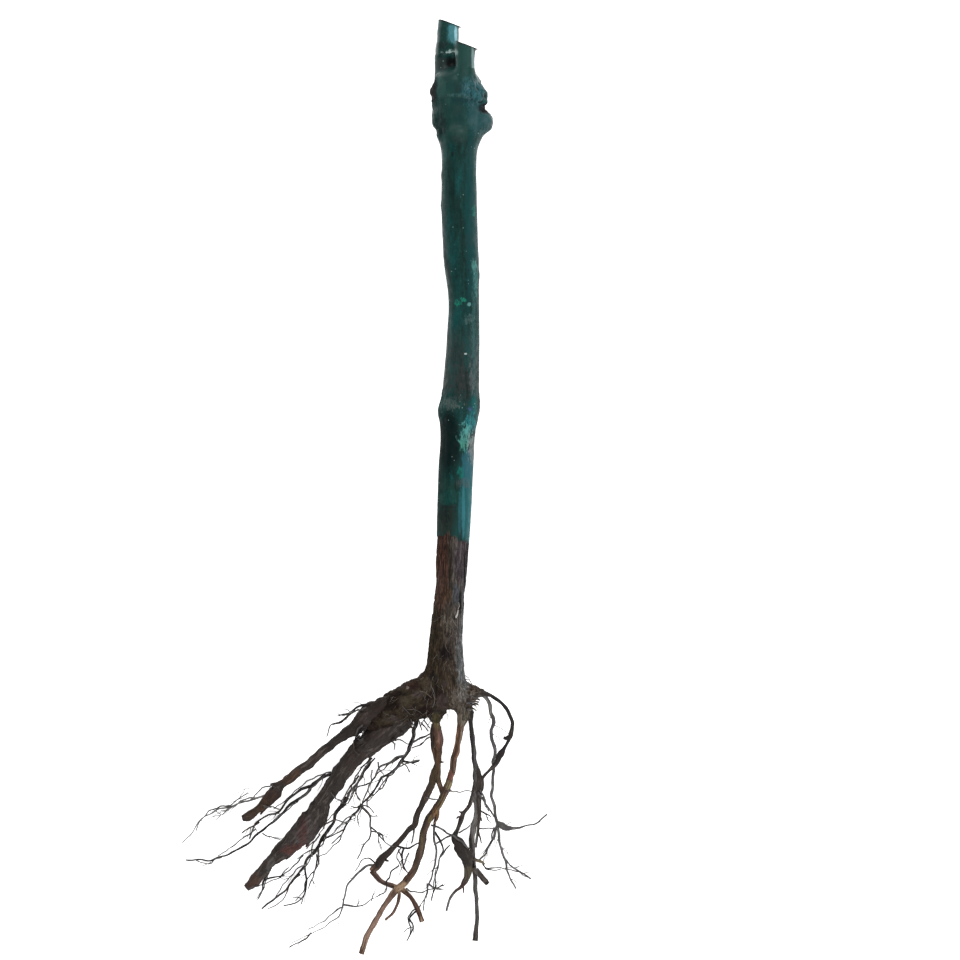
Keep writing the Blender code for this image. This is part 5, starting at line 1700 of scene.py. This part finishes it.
# %% Threads and strips
# half-thickness, which tone (0 black, 1 grey, 2 brown, 3 tan, 4 torn and nearly white), then the path
THREADS = [
    (0.3, 3, [(-17.5, 5), (-14.5, 4.2), (-11.5, 1.8)]),
    (0.26, 3, [(-1, 2.6), (1, -0.4), (4, -1.6)]),
    (0.22, 3, [(-2.8, 41), (-1.2, 45), (0.6, 49.2)]),
    (0.6, 4, [(0.3, 41.6), (1.1, 43.4), (1.7, 45.4)]),
    (0.2, 4, [(1.6, 45.8), (2.2, 47.4), (1.9, 49.2)]),
    (0.2, 1, [(-26, -2.5), (-22, -6.4), (-19.5, -5), (-21.5, -2.6)]),
    (0.2, 3, [(-24, -4), (-19, -4.4), (-15.5, -7)]),
    (0.22, 1, [(-12, 8), (-10, 3), (-11, -3)]),
    (0.24, 3, [(7.5, 5), (11, 4.2), (14.5, 4.8)]),
    (0.26, 1, [(7, 3), (10.5, 1.6), (14, 0.4)]),
    (0.24, 2, [(8.5, 7), (10.5, 6), (13.5, 5.6)]),
    (0.24, 3, [(9.5, 1), (12.5, -2.6), (14.5, -3.2)]),
    (0.22, 2, [(9, 0), (11, -4), (12.6, -6)]),
    (0.2, 1, [(-5.5, 42), (-4.4, 38), (-5.2, 35.5)]),
    (0.2, 3, [(-3.5, 41), (-3.2, 37.5), (-2, 36)]),
    (0.26, 0, [(-14.5, -8), (-17, -12.5), (-16.5, -15)]),
    (0.22, 0, [(-17.5, -8.5), (-20.5, -12), (-23, -13)]),
    (0.2, 1, [(-11.5, -8.5), (-13.5, -13), (-13, -16)]),
    (0.2, 2, [(-20.5, -9), (-24.5, -11), (-26.5, -14)]),
    # a fringe of torn bark at the right of the crown
    (0.85, 2, [(5.8, 0.6), (8.6, 0.2), (10.6, 0.9), (12.4, 0.2)]),
    (0.75, 1, [(5.6, -0.8), (8.2, -0.9), (10.2, -0.2), (12.2, -0.8)]),
    (0.8, 2, [(5.8, -2), (8.4, -2), (10.4, -1.6), (11.8, -2.2)]),
    (0.5, 0, [(6, -1.4), (8.8, -1.6), (10.8, -2.6)]),
    (0.6, 2, [(5.6, -3.4), (8, -3.6), (9.8, -4.2), (10.8, -5.2)]),
    (0.36, 1, [(6, -4.2), (8.4, -4.8), (9.8, -6.4)]),
    (0.24, 1, [(5, 10.6), (7.2, 10.2), (8.6, 8.4), (8.8, 6.2)]),
    (0.22, 3, [(5.4, 8.8), (7.6, 8.6), (9.2, 7)]),
    (0.2, 1, [(5.2, 12.4), (7, 11.2), (7.6, 9)]),
]

# %% Lay threads on the stem
LAID_STEP, THREAD_STEP, RULE_STEP, THREAD_TAPER = 1.5, 0.7, 0.8, 0.5
THREAD_WANDER, LAID_REACH, RULE_REACH = 0.5, 3, 2.5
# above the stem's skin, and how far each point beyond its edge falls
THREAD_LIFT, THREAD_SAG, FIRST_LEVEL, DROP_HEIGHT = 0.1, 0.6, 17, 60
THREADS_BY_RULE, THREAD_LENGTH, THREAD_BOW = 150, (2, 6.5), 0.35
THREAD_THICKNESS = (0.13, 0.06)
MATTED_X, MATTED_Y = (-34, 6), (-9, 46)
THREAD_TONES = [black_fibre, grey_fibre, brown_fibre, tan_thread, torn_flake]
RULE_TONES = (1, 2, 3, 3)
stem_surface = BVHTree.FromObject(stem, bpy.context.evaluated_depsgraph_get())


def drop(path, thick, thin):
    """Gives a path the height of the stem under it, or a little less than its last point beyond the edge."""
    points, level = [], FIRST_LEVEL
    for x, y in path:
        above = Vector((x, y, DROP_HEIGHT)) * MM + Vector(crown)
        hit = stem_surface.ray_cast(above, Vector((0, 0, -1)))[0]
        if hit:
            level = hit.z / MM + THREAD_LIFT
        else:
            level -= THREAD_SAG
        points.append((x, y, level))
    return taper(thick, thin, *points)


def draw_thread(limb, step, reach, path_seed, sides, relief, number, tone):
    line = wander(through(limb, step), THREAD_WANDER, reach, path_seed)
    thread = draw_limb(line, sides, relief, seed=number)
    thread.data.materials.append(THREAD_TONES[tone])
    return thread


def off_the_crown(x, y):
    """Where the stem is narrower than the field of threads."""
    return x < -16 and y > 4 or x < -9 and y > 14 or x > 2 and y > 8


def make_threads():
    rule = random.Random("threads")
    drawn = []
    for number, (thick, tone, path) in enumerate(THREADS):
        limb = drop(fine_path(path, LAID_STEP), thick, thick * THREAD_TAPER)
        drawn.append(draw_thread(limb, THREAD_STEP, LAID_REACH, number * 3.3, 6, fibre_relief, number, tone))
    for number in range(THREADS_BY_RULE):
        x, y = rule.uniform(*MATTED_X), rule.uniform(*MATTED_Y)
        if off_the_crown(x, y):
            continue
        along = math.radians(rule.gauss(-90 - 50 * float(smoothstep(-x, 8, 26)), 24))
        length, bow = rule.uniform(*THREAD_LENGTH), rule.uniform(-THREAD_BOW, THREAD_BOW)
        path = [
            (x + length * t * math.cos(along + bow * t), y + length * t * math.sin(along + bow * t))
            for t in (0, 0.33, 0.67, 1)
        ]
        limb, tone = drop(path, *THREAD_THICKNESS), rule.choice(RULE_TONES)
        drawn.append(draw_thread(limb, RULE_STEP, RULE_REACH, number * 1.3, 4, None, number, tone))
    finish_piece(weld(join("crown_threads", drawn)), None, "fibre")


make_threads()

# %% [markdown]
# ## The studio
#
# A bright world would light the plant evenly, but wax is dark and glossy, and only shows its colour if little
# else is mirrored in it. So the world is nearly dark. The pale floor glows a little, as a light table does,
# two broad lights stand at the plant's ends, where the stem's round sides don't reflect them, and a tall
# window of light is low on the right. The camera looks straight down from far away, so that the plant isn't
# distorted.

# %% Floor and lights
# place, size and power
SOFTBOXES = {
    "window": ((1.1, 0.05, 0.55), (0.5, 1.2), 4.6),
    "top end": ((0, 1.35, 1.35), (1.3, 0.9), 26),
    "root end": ((0.1, -1.35, 1.35), (1.3, 0.9), 26),
}
LIT_SPOT = (0.04, 0, 0)
SKY_COLOUR, SKY = (0.92, 0.97, 1, 1), 0.12
FLOOR_SIZE, FLOOR_DROP, FLOOR_GREY, FLOOR_GLOW = 8, 0.0003, 0.94, 0.85


def softbox(name, place, size, power):
    """A rectangle of light that faces the middle of the plant."""
    lamp = bpy.data.lights.new(name, "AREA")
    lamp.shape = "RECTANGLE"
    lamp.size, lamp.size_y = size
    lamp.energy = power
    thing = bpy.data.objects.new(name, lamp)
    bpy.context.scene.collection.objects.link(thing)
    thing.location = place
    thing.rotation_euler = (Vector(LIT_SPOT) - Vector(place)).to_track_quat("-Z", "Y").to_euler()


def studio():
    deselect()
    bpy.ops.mesh.primitive_plane_add(size=FLOOR_SIZE, location=(0, 0, -FLOOR_DROP))
    floor = bpy.context.active_object
    floor.name = "floor"
    pale = bpy.data.materials.new("pale floor")
    pale.use_nodes = True
    surface = pale.node_tree.nodes["Principled BSDF"].inputs
    surface["Base Color"].default_value = (FLOOR_GREY, FLOOR_GREY, FLOOR_GREY, 1)
    surface["Roughness"].default_value = 0.9
    surface["Specular IOR Level"].default_value = 0.1
    surface["Emission Color"].default_value = (1, 1, 1, 1)
    surface["Emission Strength"].default_value = FLOOR_GLOW
    floor.data.materials.append(pale)

    world = bpy.data.worlds.new("studio")
    bpy.context.scene.world = world
    world.use_nodes = True
    world.node_tree.nodes["Background"].inputs["Color"].default_value = SKY_COLOUR
    world.node_tree.nodes["Background"].inputs["Strength"].default_value = SKY
    for name, box in SOFTBOXES.items():
        softbox(name, *box)


studio()
print("lights:", ", ".join(SOFTBOXES))

# %% Camera
VIEW_MIDDLE, VIEW_PLANE, VIEW_WIDTH, VIEW_DISTANCE = (12.5, 110), 9, 0.48, 3
SENSOR = 36


def camera():
    lens = bpy.data.cameras.new("camera")
    lens.sensor_width = SENSOR
    lens.lens = SENSOR * VIEW_DISTANCE / VIEW_WIDTH
    lens.clip_end = 20
    eye = bpy.data.objects.new("camera", lens)
    bpy.context.scene.collection.objects.link(eye)
    eye.location = (*(crown[:2] + np.array(VIEW_MIDDLE) * MM), VIEW_PLANE * MM + VIEW_DISTANCE)
    bpy.context.scene.camera = eye


camera()
bpy.context.scene.view_settings.view_transform = "Standard"
print("lens:", round(bpy.context.scene.camera.data.lens, 1), "mm")
